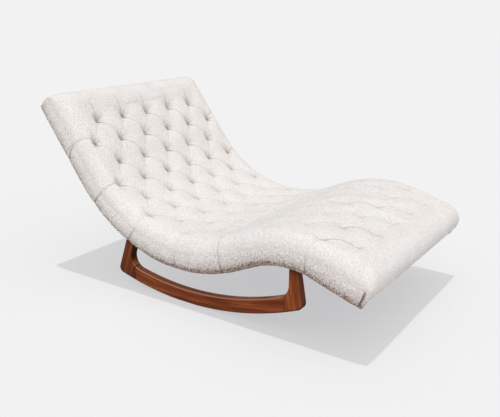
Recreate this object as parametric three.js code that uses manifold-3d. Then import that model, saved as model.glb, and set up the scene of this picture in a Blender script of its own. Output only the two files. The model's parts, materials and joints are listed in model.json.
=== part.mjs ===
// Rocking chaise lounge: a wave-shaped, button-tufted body wide enough for two, on a pair of walnut rockers.
// Millimetres. +X runs from the head end to the foot end, +Y across, +Z up, and the floor is at zero.
// The finished group stands with the middle of its footprint box on the origin.
// Inside the body: two plywood side rails cut to the wave, cross rails screwed between them, webbing
// straps across the rails, a foam slab on the straps and the tufted cover with its wadding over all.
// Left and right are those of someone lying on it, so left is +Y and right is -Y.
import * as THREE from 'three';
import { mergeVertices } from 'three/addons/utils/BufferGeometryUtils.js';
import Module from 'manifold-3d';

const wasm = await Module();
wasm.setup();

const DEGREE = Math.PI / 180;

// The wave: the line of the buttons seen from the side, from the head end to the foot end
const BACK_LENGTH = 374;
const BACK_ANGLE = 53.6 * DEGREE;
const SEAT_RADIUS = 548;
const RISE_ANGLE = 23.9 * DEGREE;
const RISE_LENGTH = 82;
const KNEE_RADIUS = 439;
const LEG_ANGLE = 19.1 * DEGREE;
const LEG_LENGTH = 199;
const SEAT_LOW_HEIGHT = 266;

// The body around that line
const BODY_WIDTH = 903;
const BODY_DEPTH = 110;
const SIDE_DRAW_IN = 5;
const END_DRAW_IN = 17;
const HEAD_BOW = 8;
const FOOT_BOW = 3;
const SIDE_ROLL_RADIUS = 48;
const END_ROLL_RADIUS = 52;
const CORNER_ROUND_SHARE = 0.3;

// Tufting: buttons in a diamond lattice, every other row set over by half a pitch
const BUTTON_PITCH_ACROSS = 152.4;
const BUTTON_PITCH_ALONG = 101.6;
const HEAD_MARGIN = 157;
const FOOT_MARGIN_LEAST = 70;
const SIDE_MARGIN_LEAST = 55;
const PUFF_HEIGHT = 27;
const EDGE_CROWN = 18;
const PLEAT_DEPTH = 4;
// Heights of the shoulders and folds of a diamond, and of the pleats at the edges
const SHOULDER_HEIGHT_SHARE = 0.74;
const FOLD_HEIGHT_SHARE = 0.42;
const PLEAT_HEIGHT_SHARE = 0.5;

// Layers of the body, counted down from the buttons
const COVER_THICKNESS = 5;
const COVER_SIDE_THICKNESS = 8;
const FOAM_THICKNESS = 40;
// How much of the foam's thickness is cut off at a slant along its top edges
const FOAM_SIDE_CUT_SHARE = 0.9;
const FOAM_END_CUT_SHARE = 0.75;
const STRAP_THICKNESS = 2;
const STRAP_WIDTH = 50;
const DUST_COVER_RECESS = 4;
const DUST_COVER_THICKNESS = 1.5;
const DUST_COVER_CLEARANCE = 1;

// Timber of the body
const SIDE_RAIL_THICKNESS = 18;
const CROSS_RAIL_THICKNESS = 22;
const CROSS_RAIL_DEPTH = 48;
const CROSS_RAIL_DROP = 4;
const LEG_BOARD_THICKNESS = 27;
const LEG_BOARD_WIDTH = 150;
const LEG_BOARD_SCREW_SHARE = 0.3;
const BACK_RAIL_SHARE = 0.2;
const SEAT_RAIL_SHARE = 0.56;

// Rockers: one glued frame a side, made of a curved runner and two posts
const ROCKER_THICKNESS = 38;
const ROCKER_RADIUS = 1285;
const ROCKER_CENTRE_X = 4;
const ROCKER_REST_LENGTH = 90;
const RUNNER_DEPTH = 55;
const RUNNER_TOP_RADIUS = 1180;
const WOOD_ROUND = 8;
const REAR_POST_X = -349;
const REAR_POST_LEAN = 19.5 * DEGREE;
const REAR_POST_WIDTH = 48;
const REAR_TOE_ROUND = 20;
const REAR_FILLET_RADIUS = 50;
const REAR_JOINT_X = -272;
const FRONT_POST_X = 535;
const FRONT_POST_LEAN = 9.6 * DEGREE;
const FRONT_POST_WIDTH = 60;
const FRONT_TOE_ROUND = 25;
const FRONT_FILLET_RADIUS = 60;
const FRONT_JOINT_X = 460;
const POST_MARK_HEIGHT = 110;

// Fasteners
const DOWEL_DIAMETER = 10;
const DOWEL_LENGTH = 60;
const DOWEL_SPACING = 24;
const BOLT_DIAMETER = 8;
const BOLT_HEAD_DIAMETER = 16;
const BOLT_HEAD_HEIGHT = 6;
const BOLT_REACH = 40;
const BOLT_SPACING = 18;
const SCREW_DIAMETER = 6;
const SCREW_HEAD_DIAMETER = 12;
const SCREW_HEAD_DEPTH = 4;
const SCREW_POINT_LENGTH = 8;
const SCREW_LENGTH = 55;

// Fits, and how finely curves are drawn
const CLEARANCE = 0.3;
const OVERRUN = 5;
const MERGE_DISTANCE = 0.001;
const LEAST_STEP = 35;
const LEAST_BEND = 0.01 * DEGREE;
const RUNNER_STEP = 45;
const FILLET_STEPS = 6;
const ROUND_SIDES = 12;
const WOOD_ROUND_STEPS = 2;

const walnut = new THREE.MeshStandardMaterial({ color: 0x6f3c22, roughness: 0.42, metalness: 0 });
const dowelWood = new THREE.MeshStandardMaterial({ color: 0xc9a878, roughness: 0.7, metalness: 0 });
const plywood = new THREE.MeshStandardMaterial({ color: 0xcbb086, roughness: 0.75, metalness: 0 });
const railWood = new THREE.MeshStandardMaterial({ color: 0xbd9a6b, roughness: 0.75, metalness: 0 });
const steel = new THREE.MeshStandardMaterial({ color: 0xa9a9a6, roughness: 0.4, metalness: 1 });
const webbing = new THREE.MeshStandardMaterial({ color: 0x8c6f4a, roughness: 0.95, metalness: 0 });
const foam = new THREE.MeshStandardMaterial({ color: 0xe7d9a6, roughness: 0.95, metalness: 0 });
const boucle = new THREE.MeshStandardMaterial({ color: 0xe9e3dc, roughness: 0.98, metalness: 0 });
const cambric = new THREE.MeshStandardMaterial({ color: 0x2b2926, roughness: 0.95, metalness: 0 });

const chaise = new THREE.Group();

function addMesh(name, geometry, material, parent = chaise) {
  const mesh = new THREE.Mesh(geometry, material);
  mesh.name = name;
  parent.add(mesh);
  return mesh;
}

// Closed surface from corners and triangles as a solid that can be joined and cut
function solidFrom(corners, triangles) {
  return new wasm.Manifold(new wasm.Mesh({
    numProp: 3,
    vertProperties: new Float32Array(corners.flat()),
    triVerts: new Uint32Array(triangles.flat()),
  }));
}

// The same from a geometry, moved by a matrix, with corners at one place merged
function solidOf(geometry, matrix = new THREE.Matrix4()) {
  const bare = geometry.clone().deleteAttribute('normal').deleteAttribute('uv');
  const merged = mergeVertices(bare, MERGE_DISTANCE).applyMatrix4(matrix);
  const position = merged.getAttribute('position');
  const corners = Array.from({ length: position.count }, (_, i) => [
    position.getX(i), position.getY(i), position.getZ(i),
  ]);
  const triangles = [];
  for (let i = 0; i < merged.index.count; i += 3) {
    const triangle = Array.from(merged.index.array.slice(i, i + 3));
    if (new Set(triangle).size === 3) triangles.push(triangle);
  }
  return solidFrom(corners, triangles);
}

function geometryOf(solid) {
  const mesh = solid.getMesh();
  const geometry = new THREE.BufferGeometry();
  geometry.setAttribute('position', new THREE.BufferAttribute(new Float32Array(mesh.vertProperties), 3));
  geometry.setIndex(Array.from(mesh.triVerts));
  geometry.computeVertexNormals();
  return geometry;
}

function cutAll(solid, cutters) {
  return cutters.reduce((left, cutter) => left.subtract(cutter), solid);
}

// A flat outline of [x, z] corners as a plate between two places across
function plate(outline, acrossLow, acrossHigh) {
  const shape = new THREE.Shape(outline.map(([x, z]) => new THREE.Vector2(x, z)));
  const geometry = new THREE.ExtrudeGeometry(shape, { depth: acrossHigh - acrossLow, bevelEnabled: false });
  return geometry.rotateX(Math.PI / 2).translate(0, acrossHigh, 0);
}

// A round piece turned about the Y axis, from [radius, y] corners going up
function turned(profile) {
  return new THREE.LatheGeometry(profile.map(([r, y]) => new THREE.Vector2(r, y)), ROUND_SIDES);
}

// The value between two limits where a rising function passes zero
function solve(rising, low, high) {
  const HALVINGS = 50;
  let [under, over] = [low, high];
  for (let i = 0; i < HALVINGS; i += 1) {
    const middle = (under + over) / 2;
    if (rising(middle) > 0) over = middle;
    else under = middle;
  }
  return under;
}

// The wave as runs of steady bend, from the head end
const waveRuns = [
  { length: BACK_LENGTH, bend: 0 },
  { length: SEAT_RADIUS * (BACK_ANGLE + RISE_ANGLE), bend: 1 / SEAT_RADIUS },
  { length: RISE_LENGTH, bend: 0 },
  { length: KNEE_RADIUS * (RISE_ANGLE + LEG_ANGLE), bend: -1 / KNEE_RADIUS },
  { length: LEG_LENGTH, bend: 0 },
];
const waveLength = waveRuns.reduce((sum, run) => sum + run.length, 0);
const seatLowAlong = BACK_LENGTH + SEAT_RADIUS * BACK_ANGLE;

function followRuns(along) {
  let [x, z, heading, left] = [0, 0, -BACK_ANGLE, along];
  for (const { length, bend } of waveRuns) {
    const step = Math.min(left, length);
    const next = heading + bend * step;
    x += bend ? (Math.sin(next) - Math.sin(heading)) / bend : Math.cos(heading) * step;
    z += bend ? (Math.cos(heading) - Math.cos(next)) / bend : Math.sin(heading) * step;
    heading = next;
    left -= step;
  }
  return { x, z, heading };
}

// Place and heading of the button line at a length along it, with the low point of the seat at x = 0
const seatLow = followRuns(seatLowAlong);
function onWave(along) {
  const { x, z, heading } = followRuns(along);
  return { x: x - seatLow.x, z: z - seatLow.z + SEAT_LOW_HEIGHT, heading };
}

// Stations along the wave: three round each end's roll and one at every half row of buttons between
const halfPitchAlong = BUTTON_PITCH_ALONG / 2;
const halfPitchAcross = BUTTON_PITCH_ACROSS / 2;
const rowCount = Math.floor((waveLength - HEAD_MARGIN - FOOT_MARGIN_LEAST) / BUTTON_PITCH_ALONG) + 1;
const lastHalfRow = 2 * (rowCount - 1);
const rollTurns = [90 * DEGREE, 45 * DEGREE, 0];
const stations = rollTurns.map((turn) => ({ along: END_ROLL_RADIUS * (1 - Math.sin(turn)), turn, end: -1 }));
const firstLattice = END_ROLL_RADIUS + LEAST_STEP;
const lastLattice = waveLength - END_ROLL_RADIUS - LEAST_STEP;
const firstHalfRow = Math.ceil((firstLattice - HEAD_MARGIN) / halfPitchAlong);
for (let halfRow = firstHalfRow; HEAD_MARGIN + halfRow * halfPitchAlong < lastLattice; halfRow += 1) {
  stations.push({ along: HEAD_MARGIN + halfRow * halfPitchAlong, turn: 0, end: 0, halfRow });
}
for (const turn of rollTurns.toReversed()) {
  stations.push({ along: waveLength - END_ROLL_RADIUS * (1 - Math.sin(turn)), turn, end: 1 });
}
for (const station of stations) station.place = onWave(station.along);
for (const [i, station] of stations.entries()) {
  const beside = [stations[i - 1] ?? station, stations[i + 1] ?? station];
  station.bends = beside.some(({ place }) => Math.abs(place.heading - station.place.heading) > LEAST_BEND);
}

// A point a given depth below the button line. Between stations it lies on the straight chord, so the
// layers of the body are drawn with the same chords and never cut into each other.
function inWave(along, depth) {
  const beyond = stations.findIndex((station) => station.along >= along);
  const after = beyond < 0 ? stations.length - 1 : Math.max(1, beyond);
  const [from, to] = [stations[after - 1], stations[after]];
  const share = (along - from.along) / (to.along - from.along);
  const [a, b] = [from, to].map(({ place }) => [
    place.x + Math.sin(place.heading) * depth,
    place.z - Math.cos(place.heading) * depth,
  ]);
  return [a[0] + (b[0] - a[0]) * share, a[1] + (b[1] - a[1]) * share];
}

// Every length at which a layer from one place along the wave to another needs corners
function cornersAlong(from, to) {
  const inside = ({ along }) => along > from + CLEARANCE && along < to - CLEARANCE;
  const inner = stations.filter((station) => station.bends && inside(station));
  return [from, ...inner.map(({ along }) => along), to];
}

// Outline of a layer seen from the side, for a plate
function layerOutline(from, to, depthTop, depthBottom) {
  const alongs = cornersAlong(from, to);
  const top = alongs.map((along) => inWave(along, depthTop));
  const bottom = alongs.map((along) => inWave(along, depthBottom));
  return [...bottom, ...top.toReversed()];
}

// A layer whose top edges are cut off at a slant, as much at the sides and at the ends as its foam is
const sideCut = FOAM_SIDE_CUT_SHARE * FOAM_THICKNESS;
const endCut = FOAM_END_CUT_SHARE * FOAM_THICKNESS;
function slantedLayer(from, to, halfWidth, depthTop, depthBottom) {
  const alongs = [from, ...cornersAlong(from + endCut, to - endCut), to];
  const corners = alongs.flatMap((along) => {
    const roof = depthTop + (along === from || along === to ? endCut : 0);
    const eaves = Math.max(roof, depthTop + sideCut);
    const ring = [
      [-halfWidth, depthBottom], [halfWidth, depthBottom], [halfWidth, eaves],
      [halfWidth - sideCut, roof], [sideCut - halfWidth, roof], [-halfWidth, eaves],
    ];
    return ring.map(([across, depth]) => {
      const [x, z] = inWave(along, depth);
      return [x, across, z];
    });
  });
  const ringSize = corners.length / alongs.length;
  const lastRing = corners.length - ringSize;
  const triangles = [];
  for (let i = 0; i < ringSize; i += 1) {
    const next = (i + 1) % ringSize;
    for (let start = 0; start < lastRing; start += ringSize) {
      const [a, b, c, d] = [start + i, start + next, start + ringSize + next, start + ringSize + i];
      triangles.push([a, b, c], [a, c, d]);
    }
    if (i > 0 && next > 0) triangles.push([0, next, i], [lastRing, lastRing + i, lastRing + next]);
  }
  return solidFrom(corners, triangles);
}

// Depths of the layers
const foamTop = COVER_THICKNESS + CLEARANCE;
const foamBottom = foamTop + FOAM_THICKNESS;
const strapTop = foamBottom + CLEARANCE;
const strapBottom = strapTop + STRAP_THICKNESS;
const railTop = strapBottom + CLEARANCE;
const dustCoverTop = BODY_DEPTH - DUST_COVER_RECESS;
const railBottom = dustCoverTop - CLEARANCE;

// Places across
const halfBody = BODY_WIDTH / 2;
const halfCavity = halfBody - SIDE_DRAW_IN - COVER_SIDE_THICKNESS;
const railOuter = halfCavity - CLEARANCE;
const railInner = railOuter - SIDE_RAIL_THICKNESS;
const halfSpan = railInner - CLEARANCE;

// Places along the wave
const cavityHead = END_DRAW_IN + COVER_SIDE_THICKNESS;
const insideHead = cavityHead + CLEARANCE;
const insideFoot = waveLength - insideHead;

// The tufted cover with its wadding: a grid of stations along and columns across. Columns are a quarter
// pitch apart, so that buttons, folds and puff tops all fall on grid corners, then round the side's roll.
const outerQuarter = 2 * Math.floor((halfBody - SIDE_MARGIN_LEAST) / halfPitchAcross);
const columns = [];
for (let quarter = -outerQuarter; quarter <= outerQuarter; quarter += 1) {
  columns.push({ across: quarter * halfPitchAcross / 2, quarter, turn: 0, side: 0 });
}
for (const turn of [45 * DEGREE, 90 * DEGREE]) {
  columns.push({ quarter: outerQuarter, turn, side: 1 });
  columns.unshift({ quarter: -outerQuarter, turn, side: -1 });
}

function isEven(number) {
  return number % 2 === 0;
}

// Buttons, puff tops, shoulders and folds repeat every four half rows and every four quarter columns
function isButton(halfRow, quarter) {
  return isEven(halfRow) && isEven(quarter) && (halfRow + quarter) % 4 === 0;
}

function puffHeight(station, column) {
  const halfRow = station.end < 0 ? 0 : station.end > 0 ? lastHalfRow : station.halfRow;
  const margin = halfRow !== station.halfRow || halfRow < 0 || halfRow > lastHalfRow;
  if (margin || column.side !== 0) {
    const nearest = THREE.MathUtils.clamp(halfRow, 0, lastHalfRow);
    const pleated = isButton(nearest, column.quarter) && !(margin && column.side !== 0);
    return EDGE_CROWN * (pleated ? PLEAT_HEIGHT_SHARE : 1);
  }
  const crown = Math.abs(column.quarter) === outerQuarter ? EDGE_CROWN : PUFF_HEIGHT;
  if (isButton(halfRow, column.quarter)) return 0;
  if (isEven(halfRow) && isEven(column.quarter)) return crown;
  if (!isEven(halfRow) && !isEven(column.quarter)) return crown * FOLD_HEIGHT_SHARE;
  return crown * SHOULDER_HEIGHT_SHARE;
}

// How far an end stands out past its corners: nearly straight across, rounding off towards the sides
function bowAt(station, across) {
  return (station.end < 0 ? HEAD_BOW : FOOT_BOW) * (1 - (across / halfBody) ** 4);
}

// Top surface corner. On the rolls the square of two turns is mapped to a quarter ball, so that the
// corners of the body are rounded too, partly in plan and fully in height.
function coverCorner(station, column) {
  const [u, v] = [Math.sin(column.turn), Math.sin(station.turn)];
  const [squeezeU, squeezeV] = [Math.sqrt(1 - v * v / 2), Math.sqrt(1 - u * u / 2)];
  const [ballU, ballV] = [u * squeezeU, v * squeezeV];
  const reach = ballU * ballU + ballV * ballV;
  const radius = reach > 0 ? (SIDE_ROLL_RADIUS * ballU ** 2 + END_ROLL_RADIUS * ballV ** 2) / reach : 0;
  const drop = radius * (1 - Math.sqrt(Math.max(0, 1 - reach)));
  const height = puffHeight(station, column);
  const planU = u * (1 - CORNER_ROUND_SHARE * (1 - squeezeU));
  const planV = v * (1 - CORNER_ROUND_SHARE * (1 - squeezeV));
  const pulledIn = height < EDGE_CROWN ? PLEAT_DEPTH * u : 0;
  const across = column.side === 0
    ? column.across
    : column.side * (halfBody - SIDE_ROLL_RADIUS * (1 - planU) - pulledIn);
  const fromEnd = END_ROLL_RADIUS * (1 - planV) - bowAt(station, across) * v;
  const along = station.end < 0 ? fromEnd : station.end > 0 ? waveLength - fromEnd : station.along;
  return { along, across, depth: drop - height };
}

function tuftedForm() {
  const corners = [];
  const add = ({ along, across, depth }) => {
    const [x, z] = inWave(along, depth);
    return corners.push([x, across, z]) - 1;
  };
  const grid = stations.map((station) => columns.map((column) => add(coverCorner(station, column))));
  const [lastStation, lastColumn] = [stations.length - 1, columns.length - 1];
  const triangles = [];
  for (let s = 0; s < lastStation; s += 1) {
    for (let c = 0; c < lastColumn; c += 1) {
      const [a, b, d, e] = [grid[s][c], grid[s + 1][c], grid[s + 1][c + 1], grid[s][c + 1]];
      const evenRow = isEven(stations[s].halfRow ?? s);
      const evenColumn = isEven(columns[c].quarter);
      if (evenRow === evenColumn) triangles.push([a, b, d], [a, d, e]);
      else triangles.push([a, b, e], [b, d, e]);
    }
  }
  const foot = stations.map((station) => columns.map((column) => {
    const onEdge = [station.turn, column.turn].includes(rollTurns[0]);
    if (!onEdge) return null;
    const { along, across } = coverCorner(station, column);
    return add({
      along: along - station.end * END_DRAW_IN * Math.sin(station.turn),
      across: across - column.side * SIDE_DRAW_IN * Math.sin(column.turn),
      depth: BODY_DEPTH,
    });
  }));
  const loop = [
    ...stations.map((_, s) => [s, 0]),
    ...columns.map((_, c) => [lastStation, c]).slice(1),
    ...stations.map((_, s) => [s, lastColumn]).toReversed().slice(1),
    ...columns.map((_, c) => [0, c]).toReversed().slice(1, -1),
  ];
  loop.forEach(([s, c], i) => {
    const [nextS, nextC] = loop[(i + 1) % loop.length];
    const [a, b, d, e] = [grid[s][c], foot[s][c], foot[nextS][nextC], grid[nextS][nextC]];
    triangles.push([a, b, d], [a, d, e]);
  });
  for (let s = 1; s < lastStation - 1; s += 1) {
    const [a, b, d, e] = [foot[s][0], foot[s][lastColumn], foot[s + 1][lastColumn], foot[s + 1][0]];
    triangles.push([a, b, d], [a, d, e]);
  }
  const middle = Math.floor(lastColumn / 2);
  for (const [end, beside, flip] of [[0, 1, false], [lastStation, lastStation - 1, true]]) {
    const turnOver = ([a, b, d]) => (flip ? [b, a, d] : [a, b, d]);
    for (let c = 0; c < lastColumn; c += 1) {
      const tip = foot[beside][c < middle ? 0 : lastColumn];
      triangles.push(turnOver([foot[end][c], foot[end][c + 1], tip]));
    }
    triangles.push(turnOver([foot[end][middle], foot[beside][lastColumn], foot[beside][0]]));
  }
  return solidFrom(corners, triangles);
}

function addCover() {
  const depthBottom = BODY_DEPTH + OVERRUN;
  const cavity = slantedLayer(cavityHead, waveLength - cavityHead, halfCavity, COVER_THICKNESS, depthBottom);
  addMesh('tufted_cover', geometryOf(tuftedForm().subtract(cavity)), boucle);
}

function addFoam() {
  const slab = slantedLayer(insideHead, insideFoot, halfCavity - CLEARANCE, foamTop, foamBottom);
  addMesh('foam_slab', geometryOf(slab), foam);
}

// One strap under each row of buttons, whose ties are knotted to it
function addStraps() {
  for (let row = 0; row < rowCount; row += 1) {
    const along = HEAD_MARGIN + row * BUTTON_PITCH_ALONG;
    const outline = layerOutline(along - STRAP_WIDTH / 2, along + STRAP_WIDTH / 2, strapTop, strapBottom);
    const number = String(row + 1).padStart(2, '0');
    addMesh(`webbing_strap_${number}`, plate(outline, -railOuter, railOuter), webbing);
  }
}

// Posts of a rocker, each by its outer edge: where that edge is at the mark height, how it leans towards
// the middle as it rises, and how wide the post is there. The inner edge leans by a share of the same.
const rearPost = {
  x: REAR_POST_X, lean: REAR_POST_LEAN, innerLean: REAR_POST_LEAN, width: REAR_POST_WIDTH, inward: 1,
};
const frontPost = {
  x: FRONT_POST_X, lean: -FRONT_POST_LEAN, innerLean: 0, width: FRONT_POST_WIDTH, inward: -1,
};
function outerEdge({ x, lean }, height) {
  return x + (height - POST_MARK_HEIGHT) * Math.tan(lean);
}
function innerEdge({ x, innerLean, width, inward }, height) {
  return x + inward * width + (height - POST_MARK_HEIGHT) * Math.tan(innerLean);
}

// The leg board over a post lies flat above the dust cover, clear of the curve of the underside
const legBoardSag = (LEG_BOARD_WIDTH / 2) ** 2 / (2 * (SEAT_RADIUS + BODY_DEPTH));
const legBoardBottom = railBottom - legBoardSag - DUST_COVER_CLEARANCE;

// Frame of reference on the wave at a depth: local X along the wave, local Z square to it
function frameOnWave(along, depth) {
  const frame = new THREE.Group();
  const [x, z] = inWave(along, depth);
  frame.position.set(x, 0, z);
  frame.rotation.y = -onWave(along).heading;
  chaise.add(frame);
  frame.updateMatrixWorld(true);
  return frame;
}

function frameOverPost(post) {
  const along = solve((place) => {
    const [x, z] = inWave(place, legBoardBottom);
    return x - (outerEdge(post, z) + innerEdge(post, z)) / 2;
  }, insideHead, insideFoot);
  return frameOnWave(along, legBoardBottom);
}

// Countersunk screw through a side rail into the end of a cross rail, its head up at y = 0
function screwShape(grow, proud) {
  const [shank, head] = [SCREW_DIAMETER / 2 + grow, SCREW_HEAD_DIAMETER / 2 + grow];
  const top = proud > 0 ? [[head, 0], [head, proud], [0, proud]] : [[head, 0], [0, 0]];
  const tip = -SCREW_LENGTH - grow;
  return turned([[0, tip], [shank, tip + SCREW_POINT_LENGTH], [shank, -SCREW_HEAD_DEPTH], ...top]);
}

const railCuts = { left: [], right: [] };
const sides = [['left', 1], ['right', -1]];

// A cross piece between the side rails with its two screws, in a frame on the wave
function addCrossPiece(name, frame, size, screwPlace, centreHeight, cuts = []) {
  const holes = [];
  for (const [side, sign] of sides) {
    const screw = addMesh(`${name}_screw_${side}`, screwShape(0, 0), steel, frame);
    screw.position.set(screwPlace, sign * (railOuter - CLEARANCE), centreHeight);
    screw.rotation.z = sign > 0 ? 0 : Math.PI;
    screw.updateMatrixWorld(true);
    const cutter = screwShape(CLEARANCE, OVERRUN);
    railCuts[side].push(solidOf(cutter, screw.matrixWorld));
    holes.push(solidOf(cutter, screw.matrix));
  }
  const block = new THREE.BoxGeometry(...size).translate(0, 0, centreHeight);
  addMesh(name, geometryOf(cutAll(solidOf(block), [...holes, ...cuts])), railWood, frame);
}

function addCrossRails() {
  const size = [CROSS_RAIL_THICKNESS, 2 * halfSpan, CROSS_RAIL_DEPTH];
  const depth = railTop + CROSS_RAIL_DROP + CROSS_RAIL_DEPTH / 2;
  const places = {
    head_rail: insideHead + CROSS_RAIL_THICKNESS / 2,
    back_rail: BACK_RAIL_SHARE * waveLength,
    seat_rail: SEAT_RAIL_SHARE * waveLength,
    foot_rail: insideFoot - CROSS_RAIL_THICKNESS / 2,
  };
  for (const [name, along] of Object.entries(places)) {
    addCrossPiece(name, frameOnWave(along, depth), size, 0, 0);
  }
}

// A leg board with the bolts that go down through it into the two posts
const rockerMiddle = halfSpan - ROCKER_THICKNESS / 2;
const boltHeadSeat = LEG_BOARD_THICKNESS + CLEARANCE;
function boltShape() {
  const [shank, head] = [BOLT_DIAMETER / 2, BOLT_HEAD_DIAMETER / 2];
  const profile = [
    [0, -BOLT_REACH], [shank, -BOLT_REACH], [shank, boltHeadSeat], [head, boltHeadSeat],
    [head, boltHeadSeat + BOLT_HEAD_HEIGHT], [0, boltHeadSeat + BOLT_HEAD_HEIGHT],
  ];
  return turned(profile).rotateX(Math.PI / 2);
}
function boltHole() {
  const radius = BOLT_DIAMETER / 2 + CLEARANCE;
  const [low, high] = [-BOLT_REACH - CLEARANCE, LEG_BOARD_THICKNESS + OVERRUN];
  return turned([[0, low], [radius, low], [radius, high], [0, high]]).rotateX(Math.PI / 2);
}

function addLegBoard(name, post) {
  const frame = frameOverPost(post);
  const holes = [];
  const postCuts = { left: [], right: [] };
  for (const [side, sign] of sides) {
    for (const [place, offset] of [['outer', 1], ['inner', -1]]) {
      const bolt = addMesh(`${name}_bolt_${side}_${place}`, boltShape(), steel, frame);
      bolt.position.y = sign * (rockerMiddle + offset * BOLT_SPACING / 2);
      bolt.updateMatrixWorld(true);
      holes.push(solidOf(boltHole(), bolt.matrix));
      postCuts[side].push(solidOf(boltHole(), bolt.matrixWorld));
    }
    const above = new THREE.BoxGeometry(2 * LEG_BOARD_WIDTH, 2 * ROCKER_THICKNESS, 2 * LEG_BOARD_WIDTH);
    above.translate(0, sign * rockerMiddle, LEG_BOARD_WIDTH - CLEARANCE);
    postCuts[side].push(solidOf(above, frame.matrixWorld));
  }
  const size = [LEG_BOARD_WIDTH, 2 * halfSpan, LEG_BOARD_THICKNESS];
  addCrossPiece(name, frame, size, LEG_BOARD_SCREW_SHARE * LEG_BOARD_WIDTH, LEG_BOARD_THICKNESS / 2, holes);
  return { frame, postCuts };
}

// Centre of a round of given radius that touches a straight edge and the inside of a large circle
function roundCentre(edgePoint, edgeDirection, edgeSide, circle, radius) {
  const start = edgePoint.clone().addScaledVector(edgeSide, radius);
  const toStart = start.clone().sub(circle.centre);
  const reach = circle.radius - radius;
  const b = toStart.dot(edgeDirection);
  const t = -b - Math.sqrt(b * b - toStart.lengthSq() + reach * reach);
  return start.addScaledVector(edgeDirection, t);
}

function arcPoints(centre, radius, from, to, steps) {
  return Array.from({ length: steps + 1 }, (_, i) => {
    const angle = from + (to - from) * i / steps;
    return [centre.x + radius * Math.cos(angle), centre.y + radius * Math.sin(angle)];
  });
}

// The outline of a whole rocker: the sole, the front post, the top of the runner and the rear post.
// Between a post's edge and a long curve lies a round: the toe outside, the fillet inside.
function rockerOutline(topHeights) {
  const halfRest = ROCKER_REST_LENGTH / 2;
  const sole = {
    centre: new THREE.Vector2(ROCKER_CENTRE_X, Math.sqrt(ROCKER_RADIUS ** 2 - halfRest ** 2)),
    radius: ROCKER_RADIUS,
  };
  const top = {
    centre: new THREE.Vector2(ROCKER_CENTRE_X, RUNNER_DEPTH + RUNNER_TOP_RADIUS),
    radius: RUNNER_TOP_RADIUS,
  };
  const rounds = (post, edge, lean, circle, radius, towards) => {
    const direction = new THREE.Vector2(Math.sin(lean), Math.cos(lean));
    const sideways = new THREE.Vector2(towards * Math.cos(lean), -towards * Math.sin(lean));
    const point = new THREE.Vector2(edge(post, POST_MARK_HEIGHT), POST_MARK_HEIGHT);
    const centre = roundCentre(point, direction, sideways, circle, radius);
    const onEdge = sideways.clone().negate().angle();
    const onCircle = centre.clone().sub(circle.centre).angle();
    return { centre, radius, onEdge, onCircle };
  };
  const rearToe = rounds(rearPost, outerEdge, REAR_POST_LEAN, sole, REAR_TOE_ROUND, 1);
  const frontToe = rounds(frontPost, outerEdge, -FRONT_POST_LEAN, sole, FRONT_TOE_ROUND, -1);
  const rearFillet = rounds(rearPost, innerEdge, rearPost.innerLean, top, REAR_FILLET_RADIUS, 1);
  const frontFillet = rounds(frontPost, innerEdge, frontPost.innerLean, top, FRONT_FILLET_RADIUS, -1);
  const restAngle = Math.asin(halfRest / ROCKER_RADIUS);
  const down = 1.5 * Math.PI;
  const arc = (circle, from, to, steps) => arcPoints(circle.centre, circle.radius, from, to, steps);
  const longArc = (circle, from, to) => {
    const steps = Math.ceil(Math.abs(to - from) * circle.radius / RUNNER_STEP);
    return arc(circle, from, to, steps);
  };
  const onto = (angle, reference) => {
    const turns = Math.round((reference - angle) / (2 * Math.PI));
    return angle + turns * 2 * Math.PI;
  };
  const roundArc = (round, from, to) => arc(round, onto(from, to), to, FILLET_STEPS);
  return [
    ...longArc(sole, rearToe.onCircle, down - restAngle),
    ...longArc(sole, down + restAngle, frontToe.onCircle),
    ...roundArc(frontToe, frontToe.onCircle, onto(frontToe.onEdge, frontToe.onCircle)).slice(1),
    [outerEdge(frontPost, topHeights.front), topHeights.front],
    [innerEdge(frontPost, topHeights.front), topHeights.front],
    ...roundArc(frontFillet, frontFillet.onEdge, onto(frontFillet.onCircle, frontFillet.onEdge)),
    ...longArc(top, frontFillet.onCircle, rearFillet.onCircle).slice(1, -1),
    ...roundArc(rearFillet, rearFillet.onCircle, onto(rearFillet.onEdge, rearFillet.onCircle)),
    [innerEdge(rearPost, topHeights.rear), topHeights.rear],
    [outerEdge(rearPost, topHeights.rear), topHeights.rear],
    ...roundArc(rearToe, rearToe.onEdge, onto(rearToe.onCircle, rearToe.onEdge)).slice(0, -1),
  ];
}

function rockerBlank(outline) {
  const shape = new THREE.Shape(outline.map(([x, z]) => new THREE.Vector2(x, z)));
  const geometry = new THREE.ExtrudeGeometry(shape, {
    depth: ROCKER_THICKNESS - 2 * WOOD_ROUND,
    bevelThickness: WOOD_ROUND,
    bevelSize: WOOD_ROUND,
    bevelOffset: -WOOD_ROUND,
    bevelSegments: WOOD_ROUND_STEPS,
  });
  return geometry.translate(0, 0, WOOD_ROUND - ROCKER_THICKNESS / 2).rotateX(Math.PI / 2);
}

// The three pieces of a rocker, with their dowel holes, cut from one rounded blank
function soleHeight(fromCentre) {
  return ROCKER_RADIUS - Math.sqrt(ROCKER_RADIUS ** 2 - fromCentre ** 2);
}
function runnerTopHeight(fromCentre) {
  return RUNNER_DEPTH + RUNNER_TOP_RADIUS - Math.sqrt(RUNNER_TOP_RADIUS ** 2 - fromCentre ** 2);
}

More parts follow.
